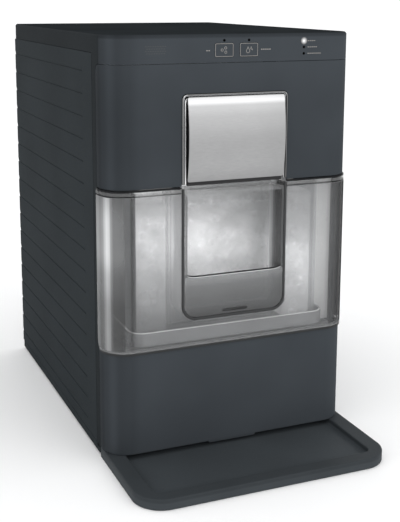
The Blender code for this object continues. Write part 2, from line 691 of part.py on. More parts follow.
def make_bin_deck():
    """Shelf that carries the drawer and lets melt water fall into the tank."""
    deck = box("bin_deck", (0.0007 - INSIDE, FRONT + 0.0305, 0.1005),
               (INSIDE - 0.0007, PARTITION_FRONT - 0.001, DECK_TOP), WHITE)
    openings = boxes("deck_opening_cutter", [((-0.030, -0.050, 0.09), (0.030, 0.030, 0.12)),
                                             ((0.1020, -0.018, 0.09), (0.1150, -0.002, 0.12))])
    cut(deck, openings)
    for name, x in (("left_drawer_rail", -RAIL_X), ("right_drawer_rail", RAIL_X)):
        rail = box(name, (x - 0.0068, FRONT + 0.0335, DECK_TOP + GAP), (x + 0.0068, 0.056, 0.1126),
                   STEEL, metallic=1.0)
        cut(rail, box(name + "_cutter", (x - 0.0046, FRONT, RUNNER_BOTTOM - 0.0006),
                      (x + 0.0046, 0.1, 0.12)))


def scoop_outline(inset, top, segments=5):
    half = SCOOP_HALF - inset
    bottom = SCOOP_BOTTOM + inset
    radius = 0.0115 - inset
    return fillet([(-half, bottom, radius), (half, bottom, radius), (half, top, 0.003),
                   (-half, top, 0.003)], segments)


def bowed_profile(front_shift, back_shift, low, high, segments=8):
    """Side view of a sheet bowed towards the front, between two depths behind the plate's face."""
    front, back = [], []
    middle = (PLATE_TOP + PLATE_BOTTOM) / 2
    reach = (PLATE_TOP - PLATE_BOTTOM) / 2
    for step in range(segments + 1):
        z = low + (high - low) * step / segments
        bow = PLATE_BOW * (1 - ((z - middle) / reach) ** 2)
        front.append((FRONT - PLATE_PROUD - bow + front_shift, z))
        back.append((FRONT - PLATE_PROUD - bow + back_shift, z))
    return front, back


def make_scoop():
    bowl = prism("scoop_bowl", [scoop_outline(0.0, SCOOP_TOP)], 'Y', FRONT - 0.0012,
                 FRONT + 0.0265, SMOKY, alpha=0.4)
    hollow = prism("scoop_cutter", [scoop_outline(SCOOP_WALL, SCOOP_TOP - SCOOP_WALL)], 'Y',
                   FRONT + 0.0010, FRONT + 0.0243)
    mouth = prism("scoop_mouth_cutter",
                  [[(SCOOP_WALL - SCOOP_HALF, SCOOP_LIP), (SCOOP_HALF - SCOOP_WALL, SCOOP_LIP),
                    (SCOOP_HALF - SCOOP_WALL, SCOOP_TOP - SCOOP_WALL - 0.002),
                    (SCOOP_WALL - SCOOP_HALF, SCOOP_TOP - SCOOP_WALL - 0.002)]], 'Y',
                  FRONT - 0.01, FRONT + 0.0100)
    slot = box("scoop_slot_cutter", (-0.0125, FRONT - 0.01, 0.1401), (0.0125, FRONT + 0.005, 0.1423))
    cut(bowl, hollow, mouth, slot)

    front, back = bowed_profile(0.0, 0.0012, PLATE_BOTTOM, PLATE_TOP)
    plate = prism("scoop_handle_plate", [front + back[::-1]], 'X', -PLATE_HALF, PLATE_HALF, STEEL,
                  metallic=1.0)
    corners = prism("plate_corner_guide",
                    [rounded_box((-PLATE_HALF, PLATE_BOTTOM), (PLATE_HALF, PLATE_TOP), 0.0018)],
                    'Y', FRONT - 0.02, FRONT + 0.02)
    boolean(plate, corners, 'INTERSECT')

    front, _ = bowed_profile(0.0016, 0.0, PLATE_BOTTOM + 0.0014, PLATE_TOP - 0.0014)
    grip = front + [(FRONT + 0.0050, PLATE_TOP - 0.0030), (FRONT + 0.0050, PLATE_BOTTOM + 0.0014)]
    core = prism("scoop_handle_core", [grip], 'X', 0.0008 - PLATE_HALF, PLATE_HALF - 0.0008, BLACK)
    neck = box("scoop_neck_block", (-0.0440, FRONT + 0.0018, SCOOP_TOP + 0.0003),
               (0.0440, FRONT + 0.0048, PLATE_BOTTOM + 0.006))
    boolean(core, neck, 'UNION')
    hang_on("scoop_slide", (0, FRONT, SCOOP_TOP), bowl, plate, core)


def make_drawer():
    window = make_drawer_window()
    dock, gasket = make_scoop_dock()
    ice_bin, base = make_ice_bin()
    hang_on("drawer_slide", (0, FRONT, WINDOW_BOTTOM), window, dock, gasket, ice_bin, base)
    box("bin_lamp", (-0.080, FRONT + 0.036, 0.2665), (0.080, FRONT + 0.050, 0.2705), WHITE)
    box("bin_full_sensor", (0.072, 0.020, 0.2660), (0.088, 0.040, 0.2780), BLACK, bevel=0.001)


# ---------------------------------------------------------------- water system
def make_water_system():
    tank = prism("water_tank", [rounded_box((-0.112, FRONT + 0.0335), (0.112, 0.056), 0.008)],
                 'Z', 0.0060, 0.0930, WHITE)
    hollow = prism("tank_cutter",
                   [rounded_box((-0.1095, FRONT + 0.0360), (0.1095, 0.0535), 0.006)],
                   'Z', 0.0085, 0.12)
    outlet = rods("tank_outlet_cutter", [((DRAIN_X, 0.04, DRAIN_Z), (DRAIN_X, 0.07, DRAIN_Z))],
                  0.0040)
    cut(tank, hollow, outlet)

    turned("water_pump", [(0, 0.0560), (0.0035, 0.0560), (0.0035, 0.0420), (0.0150, 0.0400),
                          (0.0170, 0.0370), (0.0170, 0.0120), (0.0190, 0.0110),
                          (0.0190, 0.0088), (0, 0.0088)], (0.060, 0.020, 0), steps=12,
           finish=BLACK)
    tube("pump_hose", [smooth_route([(0.060, 0.020, 0.0564), (0.060, 0.020, 0.075),
                                     (0.060, 0.026, 0.0900), (0.060, 0.040, 0.0966),
                                     (0.060, 0.062, 0.0966), (0.060, 0.072, 0.1030),
                                     (0.060, 0.0745, 0.1300), (0.060, 0.0735, 0.170),
                                     (0.054, 0.090, 0.196), (0.0505, 0.1000, 0.200)], 3)],
         0.0028, SMOKY)

    turned("float_stem", [(0, 0.0800), (0.0060, 0.0800), (0.0060, 0.0785), (0.0025, 0.0780),
                          (0.0025, 0.0115), (0.0100, 0.0110), (0.0100, 0.0088), (0, 0.0088)],
           (-0.060, 0.0, 0), steps=12, finish=WHITE)
    level = turned("level_float", [(0.0110, 0.0265), (0.0110, 0.0145), (0.0095, 0.0130),
                                   (0.0031, 0.0130), (0.0031, 0.0280), (0.0095, 0.0280)],
                   (-0.060, 0.0, 0), steps=12, finish=BLACK)
    hang_on("float_slide", (-0.060, 0.0, 0.0205), level)

    turned("drain_spout", [(0.0056, 0.0), (0.0056, -0.016), (0.0080, -0.0165), (0.0080, -0.0190),
                           (0.0050, -0.0190), (0.0050, -0.1600), (0.0038, -0.1600),
                           (0.0038, 0.0)], (DRAIN_X, 0.2170, DRAIN_Z), axis='Y', steps=12,
           finish=SMOKY)
    plug = turned("drain_plug", [(0, 0.0), (0.0085, 0.0), (0.0100, -0.0012), (0.0100, -0.0115),
                                 (0.0061, -0.0115), (0.0061, -0.0030), (0, -0.0030)],
                  (DRAIN_X, REAR - 0.0002, DRAIN_Z), axis='Y', steps=14, finish=RUBBER)
    hang_on("drain_plug_slide", (DRAIN_X, REAR, DRAIN_Z), plug)


def make_partition():
    half = INSIDE - 0.0007
    prism("rear_partition",
          [[(-half, 0.0125), (half, 0.0125), (half, 0.3700), (-half, 0.3700)],
           circle((DRAIN_X, DRAIN_Z), 0.0065), circle((0.060, 0.0966), 0.0045),
           [(-0.012, 0.2850), (0.052, 0.2850), (0.052, 0.3560), (-0.012, 0.3560)]],
          'Y', PARTITION_FRONT, PARTITION_BACK, WHITE)


# ---------------------------------------------------------------- refrigeration and drive
def make_compressor():
    turned("compressor", [(0, 0.1300), (0.020, 0.1290), (0.038, 0.1200), (0.0465, 0.1040),
                          (0.047, 0.1000), (0.047, 0.0750), (0.0485, 0.0750), (0.0485, 0.0720),
                          (0.047, 0.0720), (0.047, 0.0420), (0.038, 0.0250), (0.020, 0.0185),
                          (0, 0.0182)], (COMPRESSOR_X, COMPRESSOR_Y, 0), steps=20, finish=BLACK)
    plate = prism("compressor_base", [rounded_box((-0.112, 0.090), (-0.006, 0.196), 0.012)],
                  'Z', 0.0150, 0.0178, BLACK)
    feet = rods("compressor_foot_posts", [((x, y, 0.0058), (x, y, 0.0160))
                                          for x in (-0.102, -0.016) for y in (0.100, 0.186)],
                0.0065, sides=10)
    boolean(plate, feet, 'UNION')


def make_condenser():
    """Finned block behind the rear vents, with the pipe's return bends on top of it."""
    left, right, front, back = 0.020, 0.118, 0.1880, 0.2120
    fins = 13
    pitch = (right - left) / fins
    outline = [(left, front), (right, front)]
    for index in range(fins):
        edge = right - pitch * index
        outline.append((edge, back))
        outline.append((edge - pitch * 0.35, back))
        if index < fins - 1:
            outline.append((edge - pitch * 0.35, front + 0.005))
            outline.append((edge - pitch, front + 0.005))
    outline[-1] = (left, back)
    prism("condenser_fins", [outline], 'Z', 0.022, 0.150, STEEL, metallic=1.0)


def make_fan():
    plan = [[(0.020, 0.028), (0.118, 0.028), (0.118, 0.142), (0.020, 0.142)],
            circle((FAN_X, FAN_Z), 0.0445, 24)]
    prism("fan_shroud", plan, 'Y', 0.1660, 0.1860, BLACK)
    motor = rods("fan_motor", [((FAN_X, 0.1420, FAN_Z), (FAN_X, 0.1600, FAN_Z))], 0.0160, STEEL,
                 sides=16, metallic=1.0)
    low, high = FAN_Z - 0.003, FAN_Z + 0.003
    bar = box("fan_motor_bar", (0.0230, 0.1565, low), (0.1150, 0.1585, high))
    legs = boxes("fan_motor_legs", [((0.0230, 0.1570, low + 0.0003), (0.0260, 0.1657, high - 0.0003)),
                                    ((0.1120, 0.1570, low + 0.0003), (0.1150, 0.1657, high - 0.0003))])
    boolean(motor, bar, 'UNION')
    boolean(motor, legs, 'UNION')
    rotor = rods("fan_rotor", [((FAN_X, 0.1675, FAN_Z), (FAN_X, 0.1820, FAN_Z))], 0.0130, BLACK,
                 sides=15)
    work = bmesh.new()
    for index in range(5):
        made = bmesh.ops.create_cube(work, size=1.0)["verts"]
        bmesh.ops.scale(work, vec=(0.0210, 0.0014, 0.0310), verts=made)
        place = (Matrix.Translation((FAN_X, 0.1747, FAN_Z))
                 @ Matrix.Rotation(2 * pi * index / 5, 4, 'Y')
                 @ Matrix.Translation((0, 0, 0.0265)) @ Matrix.Rotation(radians(32), 4, 'Z'))
        bmesh.ops.transform(work, matrix=place, verts=made)
    boolean(rotor, add_object("fan_blades", mesh_from("fan_blades", work)), 'UNION')
    shaft = rods("fan_shaft", [((FAN_X, 0.1604, FAN_Z), (FAN_X, 0.1700, FAN_Z))], 0.0020, sides=8)
    boolean(rotor, shaft, 'UNION')
    hang_on("fan_spin", (FAN_X, 0.175, FAN_Z), rotor)


def make_freezing_cylinder():
    turned("freezing_cylinder", [(0.0270, 0.3000), (0.0270, 0.1760), (0.0215, 0.1760),
                                 (0.0215, 0.3000)], (CYLINDER_X, CYLINDER_Y, 0), steps=20,
           finish=STEEL, metallic=1.0)
    make_cooling_coil()


def make_cooling_coil():
    """One pipe: from the condenser, round the cylinder and back to the compressor."""
    radius, pitch, turns, steps = 0.0307, 0.013, 6, 12
    first_angle = radians(60)
    coil = []
    for step in range(turns * steps + 1):
        angle = first_angle + 2 * pi * step / steps
        coil.append((CYLINDER_X + radius * cos(angle), CYLINDER_Y + radius * sin(angle),
                     0.205 + pitch * step / steps))
    feed = smooth_route([(0.052, 0.1910, 0.1506), (0.052, 0.1900, 0.172), (0.049, 0.170, 0.198),
                         (0.044, 0.150, 0.204), coil[0]], 3)
    start = Vector(coil[-1])
    back = smooth_route([start, (-0.004, 0.151, 0.282), (-0.040, 0.156, 0.262),
                         (-0.072, 0.150, 0.215), (-0.080, 0.143, 0.170),
                         (-0.080, 0.143, 0.1306)], 3)
    tube("cooling_coil", [feed[:-1] + coil + back[1:]], 0.0026, COPPER, metallic=1.0)


def make_auger():
    """Screw that scrapes ice off the cylinder wall and pushes it up into the chute."""
    auger = rods("auger", [((CYLINDER_X, CYLINDER_Y, 0.1482), (CYLINDER_X, CYLINDER_Y, 0.3040))],
                 0.0070, STEEL, metallic=1.0)
    mesh = bpy.data.meshes.new("auger_flight")
    work = bmesh.new()
    inner = work.verts.new((0.0060, 0, 0))
    outer = work.verts.new((0.0205, 0, 0))
    work.edges.new((inner, outer))
    work.to_mesh(mesh)
    work.free()
    flight = add_object("auger_flight", mesh)
    flight.location = (CYLINDER_X, CYLINDER_Y, 0.186)
    screw = flight.modifiers.new("Screw", 'SCREW')
    screw.steps = 12
    screw.render_steps = 12
    screw.iterations = 4
    screw.screw_offset = 0.026
    screw.use_merge_vertices = False
    solidify = flight.modifiers.new("Solidify", 'SOLIDIFY')
    solidify.thickness = 0.0022
    solidify.offset = 0.0
    boolean(auger, flight, 'UNION')
    return auger


def gear_outline(centre, teeth, pitch_radius, phase):
    tooth = 2 * pi / teeth
    root, tip = pitch_radius - 0.0022, pitch_radius + 0.0017
    outline = []
    for index in range(teeth):
        middle = phase + tooth * index
        for share, radius in ((-0.32, root), (-0.14, tip), (0.14, tip), (0.32, root)):
            angle = middle + tooth * share
            outline.append((centre[0] + radius * cos(angle), centre[1] + radius * sin(angle)))
    return outline


def make_drive():
    """Motor, pinion and gear in an open case that also carries the freezing cylinder."""
    auger = make_auger()
    pitch = GEAR_CENTRES / (GEAR_TEETH + PINION_TEETH)
    pinion_x = CYLINDER_X + GEAR_CENTRES
    gear = prism("drive_gear", [gear_outline((CYLINDER_X, CYLINDER_Y), GEAR_TEETH,
                                             pitch * GEAR_TEETH, 0.0),
                                circle((CYLINDER_X, CYLINDER_Y), 0.0074)],
                 'Z', 0.1510, 0.1600, WHITE)
    pinion = prism("motor_pinion", [gear_outline((pinion_x, CYLINDER_Y), PINION_TEETH,
                                                 pitch * PINION_TEETH, pi / PINION_TEETH)],
                   'Z', 0.1500, 0.1610, STEEL, metallic=1.0)
    shaft = rods("pinion_shaft", [((pinion_x, CYLINDER_Y, 0.1436), (pinion_x, CYLINDER_Y, 0.1550))],
                 0.0028, sides=10)
    boolean(pinion, shaft, 'UNION')
    case = prism("gear_case", [rounded_box((-0.010, 0.080), (0.066, 0.144), 0.008)], 'Z', 0.1450,
                 0.1720, DARK_GREY)
    hollow = prism("gear_case_cutter", [rounded_box((-0.0075, 0.0825), (0.0635, 0.1415), 0.0055)],
                   'Z', 0.1475, 0.19)
    shaft_hole = rods("gear_case_hole_cutter", [((pinion_x, CYLINDER_Y, 0.13),
                                                 (pinion_x, CYLINDER_Y, 0.15))], 0.0045)
    cut(case, hollow, shaft_hole)
    bracket = box("gear_case_bracket", (0.000, PARTITION_BACK + 0.0003, 0.1500),
                  (0.040, 0.0803, 0.1540))
    boolean(case, bracket, 'UNION')
    prism("gear_case_cover", [rounded_box((-0.010, 0.080), (0.066, 0.144), 0.008),
                              circle((CYLINDER_X, CYLINDER_Y), 0.0078)], 'Z', 0.1724, 0.1756,
          DARK_GREY)
    turned("drive_motor", [(0, 0.1432), (0.0200, 0.1432), (0.0235, 0.1410), (0.0235, 0.0980),
                           (0.0200, 0.0950), (0, 0.0950)], (pinion_x, CYLINDER_Y, 0), steps=16,
           finish=STEEL, metallic=1.0)
    hang_on("auger_spin", (CYLINDER_X, CYLINDER_Y, 0.155), auger, gear)
    hang_on("pinion_spin", (pinion_x, CYLINDER_Y, 0.155), pinion)


def make_ice_chute():
    """Hood over the cylinder that turns the ice forwards and down into the bin."""
    outside = [(0.142, 0.3004), (0.142, 0.3600), (0.080, 0.3600), (0.028, 0.3220), (0.028, 0.2720),
               (0.0565, 0.2720), (0.0565, 0.2890), (0.0800, 0.3004)]
    inside = [(0.1395, 0.3030), (0.1395, 0.3575), (0.0808, 0.3575), (0.0305, 0.3207),
              (0.0305, 0.2600), (0.0540, 0.2600), (0.0540, 0.2906), (0.0794, 0.3030)]
    chute = prism("ice_chute", [outside], 'X', -0.009, 0.049, WHITE)
    hollow = prism("chute_cutter", [inside], 'X', -0.0065, 0.0465)
    hole = rods("chute_hole_cutter", [((CYLINDER_X, CYLINDER_Y, 0.29),
                                       (CYLINDER_X, CYLINDER_Y, 0.31))], 0.0215, sides=20)
    cut(chute, hollow, hole)


def make_pipes_and_boards():
    discharge = smooth_route([(-0.045, 0.143, 0.1306), (-0.045, 0.143, 0.150),
                              (-0.030, 0.160, 0.166), (0.000, 0.182, 0.166),
                              (0.024, 0.1905, 0.162), (0.026, 0.1910, 0.1506)], 3)
    tube("discharge_pipe", [discharge], 0.0024, COPPER, metallic=1.0)
    board = box("main_board", (-0.1195, 0.080, 0.180), (-0.1180, 0.185, 0.290), GREEN)
    components = boxes("board_component_blocks", [
        ((-0.1185, 0.090, 0.190), (-0.1010, 0.115, 0.212)),
        ((-0.1185, 0.125, 0.190), (-0.1060, 0.145, 0.206)),
        ((-0.1185, 0.155, 0.190), (-0.1060, 0.175, 0.206)),
        ((-0.1185, 0.090, 0.235), (-0.0990, 0.120, 0.262)),
        ((-0.1185, 0.140, 0.240), (-0.1100, 0.172, 0.272))])
    boolean(board, components, 'UNION')


make_base()
make_drip_tray()
make_side_panels()
make_rear_panel()
make_front_shell()
make_handle_recess()
make_top_cover()
make_keys()
make_fill_lid()
make_fill_deck()
make_drawer()
make_scoop()
make_bin_deck()
make_water_system()
make_partition()
make_compressor()
make_condenser()
make_fan()
make_freezing_cylinder()
make_drive()
make_ice_chute()
make_pipes_and_boards()
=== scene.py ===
"""Looks of the countertop ice maker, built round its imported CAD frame.

Units are metres and +Z is up; the front faces -Y.  Sizes come from the CAD nodes' boxes.
"""
import random
from math import atan2, cos, pi, radians, sin, tan

import bmesh
import bpy
from mathutils import Matrix, Vector, noise


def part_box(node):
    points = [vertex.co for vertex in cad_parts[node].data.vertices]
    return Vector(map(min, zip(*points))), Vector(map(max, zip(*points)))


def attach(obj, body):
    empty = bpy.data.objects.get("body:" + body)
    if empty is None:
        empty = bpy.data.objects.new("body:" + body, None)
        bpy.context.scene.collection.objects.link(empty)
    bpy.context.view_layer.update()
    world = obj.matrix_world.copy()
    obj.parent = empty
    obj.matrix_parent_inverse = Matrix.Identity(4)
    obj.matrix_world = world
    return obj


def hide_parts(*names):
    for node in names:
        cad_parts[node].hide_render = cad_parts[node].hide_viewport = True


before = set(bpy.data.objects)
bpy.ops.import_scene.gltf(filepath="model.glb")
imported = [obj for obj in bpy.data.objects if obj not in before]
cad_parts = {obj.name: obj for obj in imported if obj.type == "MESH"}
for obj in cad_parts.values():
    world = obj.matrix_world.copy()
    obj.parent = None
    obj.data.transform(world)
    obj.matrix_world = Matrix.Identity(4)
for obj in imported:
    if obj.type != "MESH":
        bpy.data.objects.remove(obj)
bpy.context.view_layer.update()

# ---- places read from the frame
SHELL_LOW, SHELL_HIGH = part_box("front_shell")
COVER_LOW, COVER_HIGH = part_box("top_cover")
WINDOW_LOW, WINDOW_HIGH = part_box("drawer_window")
DOCK_LOW, DOCK_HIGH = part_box("scoop_dock")
BIN_LOW, BIN_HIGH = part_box("ice_bin")
BASE_LOW, BASE_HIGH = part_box("drawer_base")
SCOOP_LOW, SCOOP_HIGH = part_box("scoop_bowl")
PLATE_LOW, PLATE_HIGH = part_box("scoop_handle_plate")
TRIM_LOW, TRIM_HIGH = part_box("handle_trim")
TRAY_LOW, TRAY_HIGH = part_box("drip_tray")
LID_LOW, LID_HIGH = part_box("fill_lid")
SIDE_LOW, SIDE_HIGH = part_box("left_side_panel")

HALF = COVER_HIGH.x             # half of the body's width
FRONT = COVER_LOW.y             # front face of the body
REAR = COVER_HIGH.y
TOP = COVER_HIGH.z
SEAM = SHELL_HIGH.z             # joint between the front shell and the control strip
SIDE_SEAM = SIDE_HIGH.z
CORNER = 0.024                  # front vertical corners
WALL = 0.0025
GAP = 0.0004
BEYOND = 0.01                   # how far a cutter reaches past what it cuts
WIDE = 0.2                      # half width of a cutter that spans the whole body
COLUMN_FRONT = FRONT + 0.029   # where the front shell ends, on the body's sides
COLUMN_BACK = SIDE_LOW.y
CURL = 0.008                   # rounding of the front shell's top rear corners

GROOVES = 17
GROOVE_PITCH = 0.0214
GROOVE_FIRST = 0.3645
GROOVE_BAND = 0.0046
GROOVE_FRONT = FRONT + 0.071

ICE_KEY_X = -0.0123
CLEAN_KEY_X = 0.0123
KEY_Z = 0.3851
KEY_LAMP_Z = 0.3938
LAMP_X = 0.0691
LAMP_HEIGHTS = (0.3923, 0.3865, 0.3806)
# The halo rings are printed rings of painted glow round the lit lamp.
HALO_RINGS = [(0.0021, 0.5), (0.0028, 0.22), (0.0034, 0.11)]   # outer radius, brightness

WINDOW_PROUD = 0.0015
POCKET_HALF = 0.054
POCKET_BOTTOM = 0.1342
POCKET_CORNER = 0.0145
SCOOP_LIP = 0.176
SCOOP_WALL = 0.0022
SLOT_HALF = 0.0125              # drain slot in the scoop's front wall
SLOT_LOW, SLOT_HIGH = 0.1401, 0.1423
PLATE_BOW = 0.004


# ---- shaders
def grey(level, step=0.005):
    """Linear grey that gets a step lighter in green and again in blue."""
    return level, level + step, level + 2 * step


def scaled(colour, factor):
    return tuple(min(level * factor, 1) for level in colour)


class Look:
    """A node material in the making.  Its patterns lie in the object's own coordinates."""

    def __init__(self, name):
        self.made = bpy.data.materials.new(name)
        self.made.use_nodes = True
        self.tree = self.made.node_tree
        self.place = self.node("TexCoord").outputs["Object"]

    def feed(self, socket, value):
        """Give a socket a value, or link another node's output to it."""
        if isinstance(value, bpy.types.NodeSocket):
            self.tree.links.new(value, socket)
        else:
            socket.default_value = (*value, 1) if socket.type == 'RGBA' else value

    def feed_all(self, node, inputs):
        for key, value in inputs.items():
            self.feed(node.inputs[key.replace("_", " ")], value)

    def node(self, kind, **inputs):
        made = self.tree.nodes.new("ShaderNode" + kind)
        self.feed_all(made, inputs)
        return made

    def surface(self, **inputs):
        """Feed the material's own shader and hand the material over."""
        self.feed_all(self.tree.nodes["Principled BSDF"], inputs)
        return self.made

    def grain(self, scale, detail=3.0, stretch=None):
        vector = self.place
        if stretch:
            vector = self.node("Mapping", Vector=vector, Scale=stretch).outputs["Vector"]
        return self.node("TexNoise", Vector=vector, Scale=scale, Detail=detail).outputs["Fac"]

    def mixed(self, factor, first, second, blend='MIX'):
        """Colour that runs from the first to the second as the factor goes from 0 to 1."""
        mix = self.node("Mix")
        mix.data_type = 'RGBA'
        mix.blend_type = blend
        for index, value in ((0, factor), (6, first), (7, second)):
            self.feed(mix.inputs[index], value)
        return mix.outputs[2]

    def ranged(self, value, low, high, to_low, to_high):
        return self.node("MapRange", Value=value, From_Min=low, From_Max=high, To_Min=to_low,
                         To_Max=to_high).outputs["Result"]

    def along(self, axis):
        return self.node("SeparateXYZ", Vector=self.place).outputs[axis]

    def reckoned(self, operation, *values):
        node = self.node("Math")
        node.operation = operation
        for socket, value in zip(node.inputs, values):
            self.feed(socket, value)
        return node.outputs[0]

    def levels(self, value, stops):
        """Smooth curve of a value, through (place, height) stops."""
        low, high = stops[0][0], stops[-1][0]
        ramp = self.node("ValToRGB", Fac=self.ranged(value, low, high, 0, 1))
        ramp.color_ramp.interpolation = 'EASE'
        points = ramp.color_ramp.elements
        while len(points) < len(stops):
            points.new(0.5)
        for point, (spot, height) in zip(points, stops):
            point.position = (spot - low) / (high - low)
            point.color = (height, height, height, 1)
        return ramp.outputs["Color"]

    def faded(self, colour, fades):
        """Colour multiplied by a curve along each of the given axes: painted shade and painted
        highlights.
        """
        for axis, stops in fades.items():
            colour = self.mixed(1.0, colour, self.levels(self.along(axis), stops), 'MULTIPLY')
        return colour


def moulded(name, colour, roughness, specular, grain=0.05, cloud=0.06, scale=900.0, **fades):
    """Moulded plastic: fine spark texture, faint clouding and slightly uneven gloss."""
    look = Look(name)
    fine = look.grain(scale, 2.0)
    clouds = look.ranged(look.grain(14.0, 2.0), 0.35, 0.65, 0, 1)
    tint = look.mixed(clouds, scaled(colour, 1 - cloud), scaled(colour, 1 + cloud))
    bump = look.node("Bump", Strength=grain, Distance=0.0002, Height=fine)
    return look.surface(Base_Color=look.faded(tint, fades), Specular_IOR_Level=specular,
                        Roughness=look.ranged(fine, 0.3, 0.7, roughness - 0.06, roughness + 0.06),
                        Normal=bump.outputs["Normal"])


def clear(name, colour, alpha, roughness, specular=0.5, frost=0.0, glow=0.0, **fades):
    """Tinted see-through plastic.  Frost adds mottling; fades are curves of painted shade and
    highlights along the axes, and glow is painted light.
    """
    look = Look(name)
    mottling = look.ranged(look.grain(30.0), 0.3, 0.7, 0, 1)
    tint = look.mixed(mottling, scaled(colour, 0.94 - frost), scaled(colour, 1.05 + frost))
    fine = look.grain(220.0, 2.0)
    # Glow is painted light: the plastic gives off a little light of its own, though it is no lamp.
    lit = {"Emission_Color": colour, "Emission_Strength": glow} if glow else {}
    return look.surface(Base_Color=look.faded(tint, fades), Alpha=alpha,
                        Roughness=look.ranged(fine, 0.3, 0.7, roughness * 0.8, roughness * 1.3),
                        Specular_IOR_Level=specular, **lit)


def brushed(name, colour, roughness, stretch, strength=0.12, **fades):
    """Metal with fine parallel brushing; stretch is small along the brush strokes."""
    look = Look(name)
    strokes = look.grain(900.0, 4.0, stretch)
    dark = scaled(colour, 0.94)
    tint = look.mixed(look.ranged(strokes, 0.3, 0.7, 0, 1), dark, scaled(colour, 1.05))
    tint = look.mixed(look.ranged(look.grain(60.0), 0.42, 0.75, 0, 0.6), tint, dark)
    bump = look.node("Bump", Strength=strength, Distance=0.0001, Height=strokes)
    return look.surface(Base_Color=look.faded(tint, fades), Metallic=1.0,
                        Roughness=look.ranged(strokes, 0.3, 0.7, roughness - 0.05,
                                              roughness + 0.08),
                        Normal=bump.outputs["Normal"])


def glowing(name, colour, strength):
    """A lit lamp, softly uneven; it also gives the halo rings round the lit lamp their painted glow."""
    look = Look(name)
    return look.surface(Base_Color=look.mixed(look.grain(500.0, 2.0), scaled(colour, 0.85), colour),
                        Emission_Color=colour, Emission_Strength=strength)


def frosted_ice(name):
    """Wet nugget ice: milky and softly mottled, with a painted glow for the light of the lamp above it.

    The painted glow slopes: it is high at the left of the heap and lower towards the right.
    """
    look = Look(name)
    lumps = look.grain(190.0, 5.0)
    base = look.mixed(look.ranged(lumps, 0.35, 0.65, 0, 1), grey(0.26), grey(0.34))
    # The emission is painted light: a sloping lit zone, a curve across the heap, random drift and
    # painted glints.
    slope = look.reckoned('MULTIPLY_ADD', look.along("X"), 0.25, look.along("Z"))
    upward = [(0.112, 0.06), (0.138, 0.32), (0.152, 0.46), (0.169, 0.76), (0.19, 1.08),
              (0.207, 0.98), (0.219, 0.68), (0.234, 0.42), (0.252, 0.28)]
    across = [(-0.095, 0.95), (-0.07, 1.0), (-0.05, 1.3), (-0.02, 1.65), (0.002, 1.55),
              (0.025, 1.08), (0.045, 0.72), (0.062, 0.98), (0.09, 1.05)]
    glow = look.reckoned('MULTIPLY', look.levels(slope, upward),
                         look.levels(look.along("X"), across))
    drift = look.ranged(look.grain(60.0, 4.0), 0.3, 0.7, 0.8, 1.2)
    painted_glints = look.ranged(lumps, 0.63, 0.72, 1.0, 1.55)
    for factor in (drift, painted_glints):
        glow = look.reckoned('MULTIPLY', glow, factor)
    return look.surface(Base_Color=base, Emission_Color=(0.985, 0.99, 1.0), Emission_Strength=glow,
                        Roughness=0.35, Specular_IOR_Level=0.25)


# ---- materials
# Painted shade: the Z curve darkens the upper front and the rounded top front edge, the X curve the
# rounded left front corner.
SHELL = moulded("shell_plastic", (0.048, 0.0545, 0.0615), 0.58, 0.012,
    Z=[(0.02, 0.92), (0.11, 0.94), (0.26, 0.84), (0.34, 0.84), (0.38, 0.94), (0.3955, 0.94),
       (0.3972, 0.66), (0.4, 0.52)],
    X=[(-0.125, 0.58), (-0.1235, 0.74), (-0.119, 0.92), (-0.113, 0.74), (-0.104, 0.8),
       (-0.092, 0.95), (-0.08, 1.0)])
# Painted shade: a darker copy of the shell plastic for the sides, the base pan and the rear panel.
SIDE = moulded("side_plastic", (0.0225, 0.027, 0.03), 0.6, 0.01)
# Painted shade: a still darker copy of the shell plastic for the top ring's side faces and columns.
COLUMN = moulded("column_plastic", (0.0165, 0.0195, 0.0215), 0.6, 0.01)
# Painted light: the Z curve makes the basin's floor lighter.
TRAY = moulded("tray_plastic", (0.0355, 0.0405, 0.0445), 0.55, 0.05,
    Z=[(0.006, 1.3), (0.0075, 1.0)])
LID = moulded("lid_plastic", (0.018, 0.0207, 0.0226), 0.6, 0.0, cloud=0.12)
BLACK = moulded("black_plastic", (0.008, 0.008, 0.009), 0.48, 0.3)
RUBBER = moulded("black_rubber", (0.01, 0.01, 0.0105), 0.75, 0.2, grain=0.15, scale=500.0)
GASKET = moulded("gasket_rubber", grey(0.045, 0.001), 0.55, 0.1)
WHITE = moulded("white_plastic", grey(0.62, 0.01), 0.42, 0.4, cloud=0.03)
CHUTE = moulded("chute_plastic", grey(0.52, 0.02), 0.4, 0.4, cloud=0.04)
BOARD = moulded("circuit_board", (0.01, 0.11, 0.045), 0.4, 0.45, cloud=0.25, scale=400.0)
ENAMEL = moulded("black_enamel", (0.009, 0.009, 0.01), 0.28, 0.5, grain=0.03, scale=300.0)
MARK = moulded("pale_print", (0.29, 0.275, 0.26), 0.6, 0.05)
FAINT = moulded("faint_print", (0.085, 0.084, 0.08), 0.6, 0.05)

# Painted reflection: the Z curve lays a bright band just below the plate's top edge over darker steel;
# the X curve dims the right edge.
PLATE = brushed("brushed_plate", (0.8, 0.8, 0.805), 0.34, (0.2, 1.0, 1.0), 0.16,
    Z=[(PLATE_LOW.z, 0.38), (PLATE_LOW.z + 0.012, 0.42), (PLATE_LOW.z + 0.04, 0.36),
       (PLATE_LOW.z + 0.058, 0.38), (PLATE_HIGH.z - 0.009, 0.45),
       (PLATE_HIGH.z - 0.0045, 0.72), (PLATE_HIGH.z - 0.0015, 0.62), (PLATE_HIGH.z, 0.4)],
    X=[(0.01, 1.0), (PLATE_HIGH.x, 0.94)])
